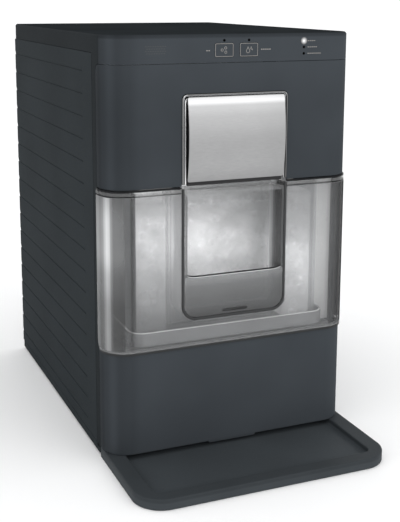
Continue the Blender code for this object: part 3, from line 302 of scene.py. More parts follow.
# Painted highlight and shade: the X curve brightens the left lips and darkens the right edge; the Z
# curve darkens the top.
TRIM = brushed("trim_steel", grey(0.3, 0), 0.3, (0.02, 1.0, 1.0), 0.04,
    X=[(TRIM_LOW.x + 0.0011, 0.8), (TRIM_LOW.x + 0.0015, 2.2), (TRIM_LOW.x + 0.0034, 2.2),
       (TRIM_LOW.x + 0.006, 1.0), (TRIM_HIGH.x - 0.0015, 1.0), (TRIM_HIGH.x - 0.001, 0.45)],
    Z=[(TRIM_HIGH.z - 0.002, 1.0), (TRIM_HIGH.z - 0.0011, 0.6), (TRIM_HIGH.z, 0.45)])
# Painted shade: the valley between the trim's lips is a much darker copy of the trim steel, lighter
# again near its top.
VALLEY = brushed("trim_valley_steel", (0.085, 0.086, 0.088), 0.42, (0.02, 1.0, 1.0), 0.04,
    Z=[(TRIM_HIGH.z - 0.008, 1.0), (TRIM_HIGH.z - 0.0035, 3.2)])
TURNED = brushed("turned_steel", (0.55, 0.55, 0.56), 0.3, (1.0, 1.0, 0.03))
FINS = brushed("fin_aluminium", grey(0.74, 0.01), 0.34, (1.0, 1.0, 0.05))
COPPER = brushed("copper_pipe", (0.72, 0.34, 0.2), 0.28, (0.3, 0.3, 1.0))
SCREW = brushed("screw_steel", (0.4, 0.4, 0.41), 0.35, (1.0, 0.05, 1.0))

# Painted shade: the window darkens towards the bottom and the top, along a stripe where the bin's left
# corner stands behind, and towards its right corner.
WINDOW = clear("window_plastic", grey(0.26), 0.26, 0.1,
    Z=[(0.15, 0.8), (0.2, 1.0), (0.262, 0.9)],
    X=[(-0.1045, 1.0), (-0.1032, 0.58), (-0.1008, 0.58), (-0.0998, 1.0), (0.1005, 1.0),
       (0.106, 0.62), (0.111, 0.44), (0.1265, 0.28)])
WINDOW_EDGE = clear("window_edge", grey(0.26), 0.75, 0.08)
# Painted shadow: nearly opaque and dark, for the window's top rim under the shell and the line above
# the scoop's lip.
WINDOW_RIM_SHADOW = clear("window_rim_shadow", grey(0.016, 0.001), 0.92, 0.02, 0.02)
# Painted shade: a thin dark line under the window's top bead and a ring round the scoop's drain slot.
WINDOW_SHADE_LINE = clear("window_line", grey(0.03, 0.001), 0.42, 0.1, 0.02)
# Painted highlight: pale beads along the window's top and bottom edges, dimmer higher up.
WINDOW_BEAD_HIGHLIGHT = clear("window_bead", grey(0.44), 0.3, 0.1,
    Z=[(0.15, 1.0), (0.25, 0.42)])
WINDOW_FOOT = clear("window_foot", grey(0.042, 0.001), 0.92, 0.1, 0.02)
# Painted shade: the window's right corner is dark and nearly opaque, lighter on its inner side.
WINDOW_RIGHT_SHADE = clear("window_side", grey(0.038, 0.001), 0.97, 0.3, 0.0,
    X=[(0.117, 1.6), (0.1205, 0.9), (0.1265, 0.5)])
# Painted highlight: a pale vertical band on the window's rounded left corner, brightest somewhat above
# the middle.
WINDOW_CORNER_HIGHLIGHT = clear("window_corner_highlight", grey(0.88, 0.01), 0.62, 0.14, 0.05,
    X=[(-0.1265, 0.48), (-0.1257, 0.36), (-0.1246, 0.42), (-0.1235, 0.72), (-0.1223, 1.0),
       (-0.1208, 0.92), (-0.1194, 0.46), (-0.1175, 0.28), (-0.109, 0.24)],
    Z=[(0.108, 0.42), (0.15, 0.46), (0.178, 0.66), (0.205, 1.0), (0.23, 0.95), (0.262, 0.6)])
# Painted shade: dark at the front and lighter towards the back; the scoop's right walls and floor use
# it too.
DOCK = clear("dock_plastic", grey(0.3), 0.62, 0.14,
    Y=[(FRONT, 0.26), (FRONT + 0.012, 0.3), (FRONT + 0.015, 0.6), (FRONT + 0.0188, 1.3),
       (FRONT + 0.0238, 1.7), (FRONT + 0.03, 1.8)])
# Painted light: a pale copy of the dock plastic for its left inner wall.
DOCK_LEFT_LIT = clear("dock_left_lit_plastic", grey(0.96, 0.01), 0.5, 0.14)
DOCK_BACK = clear("dock_back_plastic", grey(0.44), 0.14, 0.12)
BIN = clear("bin_plastic", grey(0.5), 0.2, 0.16, frost=0.03)
# Painted light: a pale copy of the bin plastic for its right wall.
BIN_RIGHT_LIT = clear("bin_right_lit_plastic", grey(0.9, 0.01), 0.5, 0.16)
# Painted shade: a dark, nearly opaque copy for the bin's left wall, darkest near the front and lower
# down.
BIN_LEFT_SHADE = clear("bin_left_shade_plastic", grey(0.3), 0.95, 0.16,
    Y=[(FRONT + 0.012, 0.05), (FRONT + 0.0195, 0.07), (FRONT + 0.0215, 0.8),
       (FRONT + 0.03, 0.76), (FRONT + 0.04, 0.85)],
    Z=[(0.115, 0.6), (0.17, 0.7), (0.2, 1.0)])
# Painted shade: the drawer base darkens towards its left end.
BASIN = clear("drawer_base_plastic", grey(0.35), 0.72, 0.16,
    X=[(-0.101, 0.35), (-0.093, 0.75), (-0.088, 1.0)])
# Painted highlight and glow: the base's top edge is pale and gives off a little light, fading towards
# the back.
LEDGE = clear("ledge_plastic", grey(0.98, 0), 0.92, 0.16, glow=0.12,
    Y=[(FRONT + 0.002, 1.0), (FRONT + 0.005, 0.85), (FRONT + 0.01, 0.3),
       (FRONT + 0.1, 0.25)])
SCOOP = clear("scoop_plastic", grey(0.3), 0.2, 0.1)
SCOOP_SHADE = clear("scoop_front_plastic", grey(0.26), 0.6, 0.12,
    Z=[(0.135, 0.3), (0.15, 0.42), (0.165, 0.55), (0.176, 0.95), (0.1775, 0.32)])
# Painted light: a pale copy of the scoop plastic for its left walls.
SCOOP_LEFT_LIT = clear("scoop_left_lit_plastic", grey(0.6), 0.34, 0.12)
# Painted highlight: the pale strip along the scoop's lip.
SCOOP_LIP_HIGHLIGHT = clear("scoop_lip_highlight_plastic", grey(0.6), 0.9, 0.1)
# Painted light: a pale glowing sheet behind the window's right corner, brightest a little below the
# middle.
GLOW_SHEET = clear("corner_glow_sheet_plastic", grey(0.98, 0), 0.9, 0.25, 0.3, glow=0.16,
    Z=[(0.108, 0.42), (0.122, 0.72), (0.15, 0.9), (0.178, 1.0), (0.215, 0.84), (0.262, 0.56)],
    X=[(0.111, 1.0), (0.1168, 0.55)])
HOSE = clear("hose_plastic", grey(0.6, 0.02), 0.45, 0.2)
LAMP_OFF = clear("lamp_off", grey(0.002, 0), 1.0, 0.6, 0.0)
LAMP_ON = glowing("lamp_on", grey(0.46, 0), 1.0)
BIN_LIGHT = glowing("bin_light", (1.0, 0.99, 0.97), 1.0)
ICE = frosted_ice("nugget_ice")


# ---- mesh helpers
def fillet(corners, segments=14):
    """Closed outline through (u, v, radius) corners, each rounded by its own radius."""
    outline = []
    for index, (u, v, radius) in enumerate(corners):
        here = Vector((u, v))
        if radius == 0:
            outline.append((u, v))
            continue
        back = (Vector(corners[index - 1][:2]) - here).normalized()
        ahead = (Vector(corners[(index + 1) % len(corners)][:2]) - here).normalized()
        half_angle = back.angle(ahead) / 2
        centre = here + (back + ahead).normalized() * radius / sin(half_angle)
        start = here + back * radius / tan(half_angle) - centre
        end = here + ahead * radius / tan(half_angle) - centre
        sweep = atan2(start.cross(end), start.dot(end))
        for step in range(segments + 1):
            angle = sweep * step / segments
            outline.append((centre.x + start.x * cos(angle) - start.y * sin(angle),
                            centre.y + start.x * sin(angle) + start.y * cos(angle)))
    return outline


def rounded_box(low, high, radii, segments=8):
    """Rectangle with one radius for all its corners, or a (low, high) pair of them."""
    (u0, v0), (u1, v1) = low, high
    first, last = radii if isinstance(radii, tuple) else (radii, radii)
    return fillet([(u0, v0, first), (u1, v0, first), (u1, v1, last), (u0, v1, last)], segments)


def circle(centre, radius, sides=32, turn=0.0):
    angles = [2 * pi * step / sides + turn for step in range(sides)]
    return [(centre[0] + radius * cos(angle), centre[1] + radius * sin(angle)) for angle in angles]


AXES = {
    'X': Matrix(((0, 0, 1), (1, 0, 0), (0, 1, 0))),    # outline is (y, z)
    'Y': Matrix(((1, 0, 0), (0, 0, -1), (0, 1, 0))),   # outline is (x, z)
    'Z': Matrix.Identity(3),                           # outline is (x, y)
}


def linked(name, data):
    item = bpy.data.objects.new(name, data)
    bpy.context.scene.collection.objects.link(item)
    return item


def built(name, work):
    """Object made of a bmesh, which is freed."""
    mesh = bpy.data.meshes.new(name)
    work.to_mesh(mesh)
    work.free()
    return linked(name, mesh)


def evaluated_mesh(item):
    bpy.context.view_layer.update()
    return bpy.data.meshes.new_from_object(item.evaluated_get(bpy.context.evaluated_depsgraph_get()))


def settle(item):
    """Apply the modifiers."""
    item.data = evaluated_mesh(item)
    item.modifiers.clear()


def prism(name, outlines, axis, low, high):
    """Flat outlines (the first one outside, the others holes) made solid along an axis."""
    curve = bpy.data.curves.new(name + "_outline", 'CURVE')
    curve.dimensions = '2D'
    curve.fill_mode = 'BOTH'
    curve.extrude = (high - low) / 2
    for outline in outlines:
        spline = curve.splines.new('POLY')
        spline.points.add(len(outline) - 1)
        for point, (u, v) in zip(spline.points, outline):
            point.co = (u, v, 0, 1)
        spline.use_cyclic_u = True
    guide = linked(name + "_outline", curve)
    work = bmesh.new()
    work.from_mesh(evaluated_mesh(guide))
    bpy.data.objects.remove(guide, do_unlink=True)
    bmesh.ops.remove_doubles(work, verts=work.verts, dist=0.000005)
    bmesh.ops.dissolve_limit(work, angle_limit=radians(0.5), verts=work.verts, edges=work.edges)
    place = AXES[axis].to_4x4()
    place['XYZ'.index(axis)][3] = (low + high) / 2
    work.transform(place)
    bmesh.ops.recalc_face_normals(work, faces=work.faces)
    return built(name, work)


def box(name, low, high):
    work = bmesh.new()
    bmesh.ops.create_cube(work, size=1.0)
    bmesh.ops.scale(work, vec=Vector(high) - Vector(low), verts=work.verts)
    bmesh.ops.translate(work, vec=(Vector(high) + Vector(low)) / 2, verts=work.verts)
    return built(name, work)


def joined(name, items):
    """One object from several, each already in place."""
    work = bmesh.new()
    for item in items:
        work.from_mesh(evaluated_mesh(item))
        bpy.data.objects.remove(item, do_unlink=True)
    return built(name, work)


def combine(item, others, operation='DIFFERENCE'):
    for other in others:
        step = item.modifiers.new("boolean", 'BOOLEAN')
        step.operation = operation
        step.object = other
    settle(item)
    for other in others:
        bpy.data.objects.remove(other, do_unlink=True)


def weld(item):
    item.modifiers.new("weld", 'WELD').merge_threshold = 0.00001


def soften(item, width, segments=3, angle=35):
    """Round every sharp edge and keep the flats flat."""
    weld(item)
    bevel = item.modifiers.new("bevel", 'BEVEL')
    bevel.width = width
    bevel.segments = segments
    bevel.limit_method = 'ANGLE'
    bevel.angle_limit = radians(angle)
    item.modifiers.new("normals", 'WEIGHTED_NORMAL').keep_sharp = True


def round_between(item, name, width, chosen):
    """Round the edges between the chosen points; the modifier stays to be applied."""
    group = item.vertex_groups.new(name=name)
    group.add([vert.index for vert in item.data.vertices if chosen(vert.co)], 1.0, 'REPLACE')
    bevel = item.modifiers.new(name, 'BEVEL')
    bevel.width = width
    bevel.segments = 5
    bevel.limit_method = 'VGROUP'
    bevel.vertex_group = name


def piece(item, body, finish, stands_for=None, soft=0.0, segments=3):
    """Finish a piece: round its edges, give it its material and let it ride on a body."""
    item.data.shade_smooth()
    if soft:
        soften(item, soft, segments)
        settle(item)
    else:
        item.data.set_sharp_from_angle(angle=radians(40))
    item.data.materials.clear()
    for made in finish if isinstance(finish, list) else [finish]:
        item.data.materials.append(made)
    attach(item, body)
    if stands_for:
        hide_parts(stands_for)


def paint(item, choose):
    """Give each face the material slot that choose(centre, normal) returns."""
    for face in item.data.polygons:
        face.material_index = choose(face.center, face.normal)


# ---- housing
def body_plan(inset):
    half = HALF - inset
    return rounded_box((-half, FRONT + inset), (half, REAR - inset),
                       (CORNER - inset, max(0.006 - inset, 0.001)), 20)


def wrap_plan(half, front, back, radius, wall):
    """Plan of a wall that runs along the front and turns round both front corners."""
    inner = half - wall
    return fillet([(-half, back, 0), (-half, front, radius), (half, front, radius),
                   (half, back, 0), (inner, back, 0), (inner, front + wall, radius - wall),
                   (-inner, front + wall, radius - wall), (-inner, back, 0)], 20)


def curl_outline(clearance):
    """Side view of the front shell: its top rear corner is rounded over."""
    back = COLUMN_FRONT + clearance
    top = SEAM + clearance
    return fillet([(FRONT - BEYOND, -BEYOND, 0), (back, -BEYOND, 0), (back, top, CURL),
                   (FRONT - BEYOND, top, 0)], 10)


def window_side_view(name, front, back, low, high, segments):
    """Block as wide as the body, rounded at the bottom rear like the drawer's window."""
    return prism(name, [fillet([(front, low, 0), (back, low, 0.012), (back, high, 0),
                                (front, high, 0)], segments)], 'X', -WIDE, WIDE)


def make_front_shell():
    shell = prism("front_shell_look", [wrap_plan(HALF, FRONT, COLUMN_FRONT, CORNER, WALL)], 'Z',
                  SHELL_LOW.z + 0.003, SEAM)
    combine(shell, [prism("curl_keep", [curl_outline(0.0)], 'X', -WIDE, WIDE)], 'INTERSECT')
    hole = window_side_view("drawer_hole", FRONT - 0.02, WINDOW_HIGH.y + GAP,
                            WINDOW_LOW.z - GAP, WINDOW_HIGH.z + GAP, 10)
    half, bottom, top = TRIM_HIGH.x + GAP, WINDOW_HIGH.z - BEYOND, TRIM_HIGH.z + GAP
    handle = prism("handle_hole", [rounded_box((-half, bottom), (half, top), (0, 0.005), 10)],
                   'Y', FRONT - BEYOND, FRONT + 0.02)
    combine(shell, [hole, handle])
    piece(shell, "housing", SHELL, "front_shell", 0.0005)
    inset = 0.0006
    plan = wrap_plan(HALF - inset, FRONT + inset, COLUMN_FRONT, CORNER - inset, WALL - inset)
    lip = prism("shell_bottom_lip", [plan], 'Z', SHELL_LOW.z + 0.0026, SHELL_LOW.z + 0.0032)
    piece(lip, "housing", SHELL)
    latch_half = 0.0245
    latch = box("tray_latch_look", (-latch_half, FRONT + 0.0008, 0.0084),
                (latch_half, FRONT + 0.015, SHELL_LOW.z + 0.003))
    piece(latch, "housing", SHELL, soft=0.0008)


def make_cover():
    """Top ring with the control strip, and the narrow columns behind the front shell."""
    ring = prism("cover_look", [body_plan(0.0)], 'Z', SEAM + GAP, TOP)
    front, back = COLUMN_FRONT - CURL, COLUMN_BACK - GAP
    plan = [(-HALF, front), (HALF, front), (HALF, back), (-HALF, back)]
    columns = prism("columns", [plan], 'Z', SHELL_LOW.z, SEAM + 0.002)
    combine(ring, [columns], 'UNION')
    well = prism("well", [body_plan(0.01)], 'Z', 0.0, TOP + BEYOND)
    under = prism("under", [body_plan(0.003)], 'Z', 0.0, TOP - 0.0055)
    recess = prism("recess", [body_plan(0.0036)], 'Z', LID_LOW.z - GAP, TOP + BEYOND)
    channel_half = 0.104
    channel = box("channel", (-channel_half, LID_HIGH.y - 0.0058, TOP - 0.005),
                  (channel_half, LID_HIGH.y + 0.0008, TOP + BEYOND))
    behind = box("behind", (-WIDE, COLUMN_BACK - 2 * GAP, 0.0), (WIDE, REAR + 0.1, SIDE_SEAM + GAP))
    keep = prism("curl_cut", [curl_outline(GAP)], 'X', -WIDE, WIDE)
    combine(ring, [well, under, recess, channel, behind, keep])
    play = 0.0003
    holes = []
    for key in ("ice_key", "clean_key"):
        low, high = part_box(key)
        outline = rounded_box((low.x - play, low.z - play), (high.x + play, high.z + play), 0.0012, 5)
        holes.append(prism("key_hole", [outline], 'Y', FRONT - BEYOND, FRONT + 0.005))
    for place in lamp_places():
        holes.append(prism("lamp_hole", [circle(place, 0.0013, 16)], 'Y', FRONT - 0.005,
                           FRONT + 0.0055))
    combine(ring, holes)
    ring.data.shade_smooth()
    round_between(ring, "rim", 0.0026, lambda point: point.z > TOP - 0.0001 and outside_edge(point))
    settle(ring)
    piece(ring, "housing", [SHELL, COLUMN, LID], "top_cover", 0.00035)
    paint(ring, cover_painted_shade)
    side_view = rounded_box((LID_HIGH.y - 0.0045, TOP - 0.006),
                            (LID_HIGH.y - 0.0003, TOP - 0.0006), (0, 0.0018), 6)
    lugs = [prism("hinge_lug", [side_view], 'X', x - 0.006, x + 0.006)
            for x in (-0.0955, 0.0, 0.0955)]
    piece(joined("hinge_lugs", lugs), "housing", SHELL, soft=0.0003)


def cover_painted_shade(centre, normal):
    """Painted shade by facing: the strip stays bright at the front, the side faces of the columns and
    rear get the darker column plastic, and the top faces the dark lid plastic.
    """
    if centre.z > TOP - 0.0004 and normal.z > 0.5:
        return 2
    return int(abs(normal.x) > 0.5 and centre.y > FRONT + 0.02)


def outside_edge(point):
    """True for points on the body's outline, not on an opening inside it."""
    inner = 0.002
    if abs(point.x) > HALF - inner or point.y < FRONT + inner or point.y > REAR - inner:
        return True
    corner = Vector((abs(point.x) - (HALF - CORNER), point.y - (FRONT + CORNER)))
    return corner.x > 0 and corner.y < 0 and corner.length > CORNER - inner


def lamp_places():
    return [(LAMP_X, z) for z in LAMP_HEIGHTS] + [(x, KEY_LAMP_Z) for x in (ICE_KEY_X, CLEAN_KEY_X)]


def make_side_panels():
    """Flat sides with level grooves: a sharp lower crease and a soft upper one."""
    profile = ((-0.001, -0.0005), (0.0001, -0.0004), (0.0008, 0.0002), (0.0005, 0.0008),
               (0.0002, GROOVE_BAND - 0.001), (-0.0001, GROOVE_BAND), (-0.001, GROOVE_BAND))
    for side, name in ((-1, "left_side"), (1, "right_side")):
        inner, outer = sorted((side * (HALF - WALL), side * HALF))
        panel = box(name + "_look", (inner, COLUMN_BACK, SIDE_LOW.z), (outer, REAR, SIDE_SEAM))
        cutters = []
        for index in range(GROOVES):
            level = GROOVE_FIRST - GROOVE_PITCH * index
            outline = [(side * (HALF - depth), level + rise) for depth, rise in profile]
            cutters.append(prism("groove", [outline], 'Y', GROOVE_FRONT, REAR + 0.002))
        combine(panel, [joined("grooves", cutters)])
        piece(panel, "housing", SIDE, name + "_panel", 0.0002, 2)


def make_lid():
    half = LID_HIGH.x
    edge = LID_HIGH.y - 0.0017
    plan = rounded_box((-half, LID_LOW.y), (half, edge), (CORNER - (HALF - half), 0.0008), 20)
    lid = prism("lid_look", [plan], 'Z', LID_LOW.z + 0.0015, LID_HIGH.z)
    notches = [box("notch", (start, edge - 0.0037, TOP - BEYOND), (end, edge + BEYOND, TOP + BEYOND))
               for start, end in ((-0.145, -0.087), (-0.0085, 0.0085), (0.087, 0.145))]
    combine(lid, notches)
    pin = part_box("lid_hinge_pin")[0]
    axis = (pin.y + 0.001, pin.z + 0.001)
    knuckles = [prism("knuckle", [circle(axis, 0.0022, 24), circle(axis, 0.0013, 16)], 'X',
                      start, end) for start, end in ((-0.0865, -0.009), (0.009, 0.0865))]
    piece(lid, "lid", LID, "fill_lid", 0.0004)
    piece(joined("lid_knuckles", knuckles), "lid", LID, soft=0.0002)


# ---- keys, lamps and printed marks
def print_mark(outlines, y=FRONT, name="mark"):
    """A thin printed shape standing 0.06 mm proud of the surface."""
    return prism(name, outlines, 'Y', y - 0.00006, y + 0.00003)


def drop_outline(x, z, radius, height, width):
    """Outline of a water drop and the hole inside it."""
    def drop(reach, tip):
        angles = [radians(30 - 240 * step / 24) for step in range(25)]
        return [(x + reach * cos(angle), z + reach * sin(angle)) for angle in angles] + [(x, z + tip)]
    return [drop(radius, height), drop(radius - width, height - 2.2 * width)]


def key_marks(name, x):
    """Three nuggets on the ice key; two drops and a glint on the cleaning key."""
    if name == "ice_key":
        places = [(x + dx, KEY_Z + dz)
                  for dx, dz in ((-0.0022, 0.0001), (0.0012, 0.0019), (0.0014, -0.0019))]
        return [[circle(place, radius, 6, pi / 6) for radius in (0.0014, 0.001)] for place in places]
    glint = [(0.0032, -0.0006), (0.0037, -0.0004), (0.003, 0.0012), (0.0026, 0.001)]
    return [drop_outline(x - 0.001, KEY_Z - 0.0012, 0.0019, 0.0042, 0.0004),
            drop_outline(x + 0.0021, KEY_Z + 0.001, 0.0008, 0.0021, 0.0003),
            [[(x + dx, KEY_Z + dz) for dx, dz in glint]]]


def make_keys():
    for name, body, x in (("ice_key", "ice_button", ICE_KEY_X),
                          ("clean_key", "clean_button", CLEAN_KEY_X)):
        low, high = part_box(name)

        def edge(inset, radius):
            return rounded_box((low.x + inset, low.z + inset), (high.x - inset, high.z - inset),
                               radius, 5)

        face = prism(name + "_look", [edge(0.0, 0.001)], 'Y', low.y, low.y + 0.0028)
        piece(face, body, SHELL, name, 0.0002, 2)
        border = [edge(0.0001, 0.001), edge(0.00045, 0.0007)]
        marks = [print_mark(outlines, low.y) for outlines in [border] + key_marks(name, x)]
        piece(joined(name + "_marks", marks), body, MARK)


def make_strip_marks():
    """Plain dashes where a real machine prints its words: they say nothing."""
    rows = [(-0.03, -0.0246, KEY_Z - 0.0003), (0.0246, 0.0358, KEY_Z + 0.0001)]
    rows += [(LAMP_X + 0.0039, LAMP_X + reach, z)
             for reach, z in zip((0.0129, 0.0159, 0.0197), LAMP_HEIGHTS)]
    dash, pause = 0.0014, 0.0007
    marks = []
    for start, end, z in rows:
        thick = 0.0009 if end < LAMP_X else 0.0007
        for index in range(max(int((end - start) / (dash + pause)), 1)):
            x = start + index * (dash + pause)
            marks.append(print_mark([rounded_box((x, z - thick / 2), (x + dash, z + thick / 2),
                                                 thick * 0.4, 3)]))
    piece(joined("strip_marks", marks), "housing", MARK)


def make_lamps():
    for number, place in enumerate(lamp_places(), 1):
        lens = prism(f"lamp_lens_{number}", [circle(place, 0.00125, 20)], 'Y', FRONT - 0.0001,
                     FRONT + 0.0016)
        piece(lens, "housing", LAMP_ON if number == 1 else LAMP_OFF, soft=0.0002, segments=2)
    lit_lamp = lamp_places()[0]
    inside = 0.0014
    # Printed rings that glow round the lit lamp: painted glow, fainter outwards.
    for number, (outside, level) in enumerate(HALO_RINGS, 1):
        name = f"lamp_halo_{number}"
        ring = print_mark([circle(lit_lamp, outside), circle(lit_lamp, inside)], name=name)
        piece(ring, "housing", glowing(name, (level, level, level * 1.01), 0.05))
        inside = outside


def make_buzzer_holes():
    """Four staggered rows of small printed dots."""
    first_x, first_z = -0.0875, 0.3893
    pitch, row_pitch = 0.0023, 0.0021
    places = [(first_x + pitch * (k + 0.5 * (row % 2)), first_z - row_pitch * row)
              for row in range(4) for k in range(9 - row % 2)]
    dots = [prism("dot", [circle(place, 0.00042, 8)], 'Y', FRONT - 0.00005, FRONT + 0.00003)
            for place in places]
    piece(joined("buzzer_holes", dots), "housing", FAINT)


# ---- scoop handle
def make_handle():
    low, high = PLATE_LOW.z, PLATE_HIGH.z
    middle, reach = (high + low) / 2, (high - low) / 2
    steps = 28
    heights = [low + (high - low) * step / steps for step in range(steps + 1)]
    rear = [(PLATE_HIGH.y - PLATE_BOW * (1 - ((z - middle) / reach) ** 2), z) for z in heights]
    face = [(y - 0.0012, z) for y, z in rear]
    rear.reverse()
    plate = prism("handle_plate_look", [face + rear], 'X', PLATE_LOW.x, PLATE_HIGH.x)
    keep = prism("plate_keep", [rounded_box((PLATE_LOW.x, low), (PLATE_HIGH.x, high), 0.0018, 6)],
                 'Y', FRONT - 0.03, FRONT + 0.03)
    combine(plate, [keep], 'INTERSECT')
    piece(plate, "scoop", PLATE, "scoop_handle_plate", 0.00045)
    core_low, core_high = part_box("scoop_handle_core")
    grip = [(y + 0.0004, z) for y, z in rear if low + 0.0014 < z < high - 0.0014]
    grip += [(core_high.y, low + 0.0016), (core_high.y, high - 0.0016)]
    core = prism("handle_core_look", [grip], 'X', core_low.x, core_high.x)
    piece(core, "scoop", BLACK, "scoop_handle_core", 0.0003, 2)
    # A black strip under the plate's lower edge: painted shadow.
    foot = box("handle_plate_shadow", (core_low.x, FRONT + 0.0003, low - 0.0036),
               (core_high.x, FRONT + 0.005, low + 0.0018))
    piece(foot, "scoop", BLACK, soft=0.0003)
    neck = box("scoop_neck", (core_low.x + 0.0038, FRONT + 0.002, core_low.z),
               (core_high.x - 0.0038, FRONT + 0.0046, low - 0.0038))
    piece(neck, "scoop", SCOOP, soft=0.0006)


def frame_outline(half, top, radius):
    """Points from the bottom left of the trim, over its rounded top, to the bottom right."""
    shape = rounded_box((-half, TRIM_LOW.z), (half, top), (0, radius))
    return [shape[0]] + shape[:1:-1] + [shape[1]]


def u_prism(name, outside, inside, low, high):
    return prism(name, [outside + inside[::-1]], 'Y', low, high)


def make_trim():
    """Steel frame round the handle: two narrow lips with a valley between them."""
    outer, top = TRIM_HIGH.x, TRIM_HIGH.z
    inner = PLATE_HIGH.x + 0.0006
    lips = []
    for half, width, depth in ((outer, 0.0011, 0.0006), (inner + 0.0013, 0.0013, 0.0004)):
        lip_top = top - (outer - half)
        lips.append(u_prism("lip", frame_outline(half, lip_top, 0.005),
                            frame_outline(half - width, lip_top - width, 0.0038),
                            FRONT - depth, FRONT + 0.003))
    # The valley's dark steel is painted shade between the lips.
    valley = u_prism("valley", frame_outline(outer - 0.0009, top - 0.0009, 0.0045),
                     frame_outline(inner + 0.001, PLATE_HIGH.z + 0.0004, 0.002),
                     FRONT + 0.0006, FRONT + 0.0028)
    piece(joined("handle_trim_look", lips), "housing", TRIM, "handle_trim",
          0.00025, 2)
    piece(valley, "housing", VALLEY, soft=0.0002, segments=2)


# ---- drawer, dock, bin and ice
def pocket_outline(inset, top):
    half = POCKET_HALF - inset
    return rounded_box((-half, POCKET_BOTTOM + inset), (half, top), (POCKET_CORNER - inset, 0), 16)


def make_window():
    """Clear front of the drawer, with thicker rims and beads at its two edges: pale beads as painted
    highlights, a dark top rim and a dark line as painted shadow, and a glowing sheet behind the right
    corner as painted light.
    """
    half = WINDOW_HIGH.x
    front, back = WINDOW_LOW.y, WINDOW_HIGH.y
    low_z, high_z = WINDOW_LOW.z, WINDOW_HIGH.z
    radius = CORNER + WINDOW_PROUD

    def wall_edges_and_painted_light(centre, normal):
        # Top, bottom and back faces get the denser edge plastic; the left corner gets the painted
        # highlight and the right corner the painted shade.
        if abs(normal.z) > 0.3 or centre.y > back - 0.0016:
            return 1
        if centre.x < 0.0175 - half:
            return 3
        return 2 * int(centre.x > half - 0.009)

    wall_looks = [WINDOW, WINDOW_EDGE, WINDOW_RIGHT_SHADE, WINDOW_CORNER_HIGHLIGHT]
    # Rows: the dark top rim is painted shadow under the shell, the dark line painted shade, and the
    # pale beads painted highlights.
    for name, low, high, wall, finish, soft in (
            ("wall", low_z + 0.004, high_z - 0.0062, 0.0028, wall_looks, 0.0006),
            ("top", high_z - 0.0017, high_z, 0.0048, WINDOW_RIM_SHADOW, 0.0006),
            ("bottom", low_z, low_z + 0.0021, 0.005, WINDOW_FOOT, 0.0006),
            ("line", high_z - 0.0061, high_z - 0.0052, 0.0032, WINDOW_SHADE_LINE, 0.0002),
            ("top_bead", high_z - 0.0051, high_z - 0.0018, 0.0028, WINDOW_BEAD_HIGHLIGHT, 0.0004),
            ("bottom_bead", low_z + 0.0022, low_z + 0.0039, 0.003, WINDOW_BEAD_HIGHLIGHT, 0.0004)):
        inset = 0.0 if name == "wall" else 0.0001
        plan = wrap_plan(half - inset, front + inset, back, radius - inset, wall)
        part = prism("window_" + name, [plan], 'Z', low, high)
        keep = window_side_view("corner_keep", front - 0.02, back, low_z, high_z + BEYOND, 12)
        combine(part, [keep], 'INTERSECT')
        combine(part, [prism("pocket", [pocket_outline(0.0, high_z + 0.02)], 'Y', front - 0.02,
                             front + 0.02)])
        stands_for = "drawer_window" if name == "wall" else None
        piece(part, "drawer", finish, stands_for, soft)
        if name == "wall":
            paint(part, wall_edges_and_painted_light)
    # A pale glowing sheet behind the window's right corner: painted light seen through the window.
    inner, middle, outer = 0.0985, 0.1016, 0.1168
    foot, step, top = BASE_HIGH.z + 0.001, 0.1095, high_z - 0.006
    outline = [(inner, foot), (middle, foot), (middle, step), (outer, step), (outer, top),
               (inner, top)]
    glow_sheet = prism("right_corner_glow_sheet", [outline], 'Y', back - 0.003, back - 0.0012)
    piece(glow_sheet, "drawer", GLOW_SHEET, soft=0.0006)


def make_dock():
    front, back = DOCK_LOW.y, DOCK_HIGH.y
    dock = prism("dock_look", [pocket_outline(0.0004, DOCK_HIGH.z)], 'Y', front, back)
    combine(dock, [prism("dock_hollow", [pocket_outline(0.0024, 0.28)], 'Y', front - BEYOND,
                         back - 0.002)])
    piece(dock, "drawer", [DOCK, DOCK_BACK, DOCK_LEFT_LIT], "scoop_dock", 0.0004, 2)

    def dock_painted_light(centre, normal):
        # The back gets the thin clear plastic; the left part above the floor gets the pale copy as
        # painted light; the rest keeps the dock plastic with its painted shade.
        if centre.y > back - 0.008:
            return 1
        return 2 * int(centre.x < 0.015 - POCKET_HALF and centre.z > POCKET_BOTTOM + 0.006)

    paint(dock, dock_painted_light)
    outside, inside = (pocket_outline(inset, DOCK_HIGH.z) for inset in (0.0006, 0.003))
    strip = [outside[-1]] + outside[:-1] + [inside[-2]] + inside[:-2][::-1] + [inside[-1]]
    gasket = prism("gasket_look", [strip], 'Y', FRONT - 0.0012, FRONT + 0.0014)
    piece(gasket, "drawer", GASKET, "dock_gasket", 0.0006)


def notch_of(inset):
    """Half width and back of the notch that the dock leaves in the bin."""
    return 0.058 + inset, FRONT + 0.032 + inset


def bin_plan(inset):
    half = BIN_HIGH.x - inset
    notch_half, notch_back = notch_of(inset)
    front = BIN_LOW.y + inset
    back = BIN_HIGH.y - inset
    return fillet([(-half, front, 0.005), (-notch_half, front, 0.003), (-notch_half, notch_back, 0),
                   (notch_half, notch_back, 0), (notch_half, front, 0.003), (half, front, 0.005),
                   (half, back, 0.01), (-half, back, 0.01)], 8)


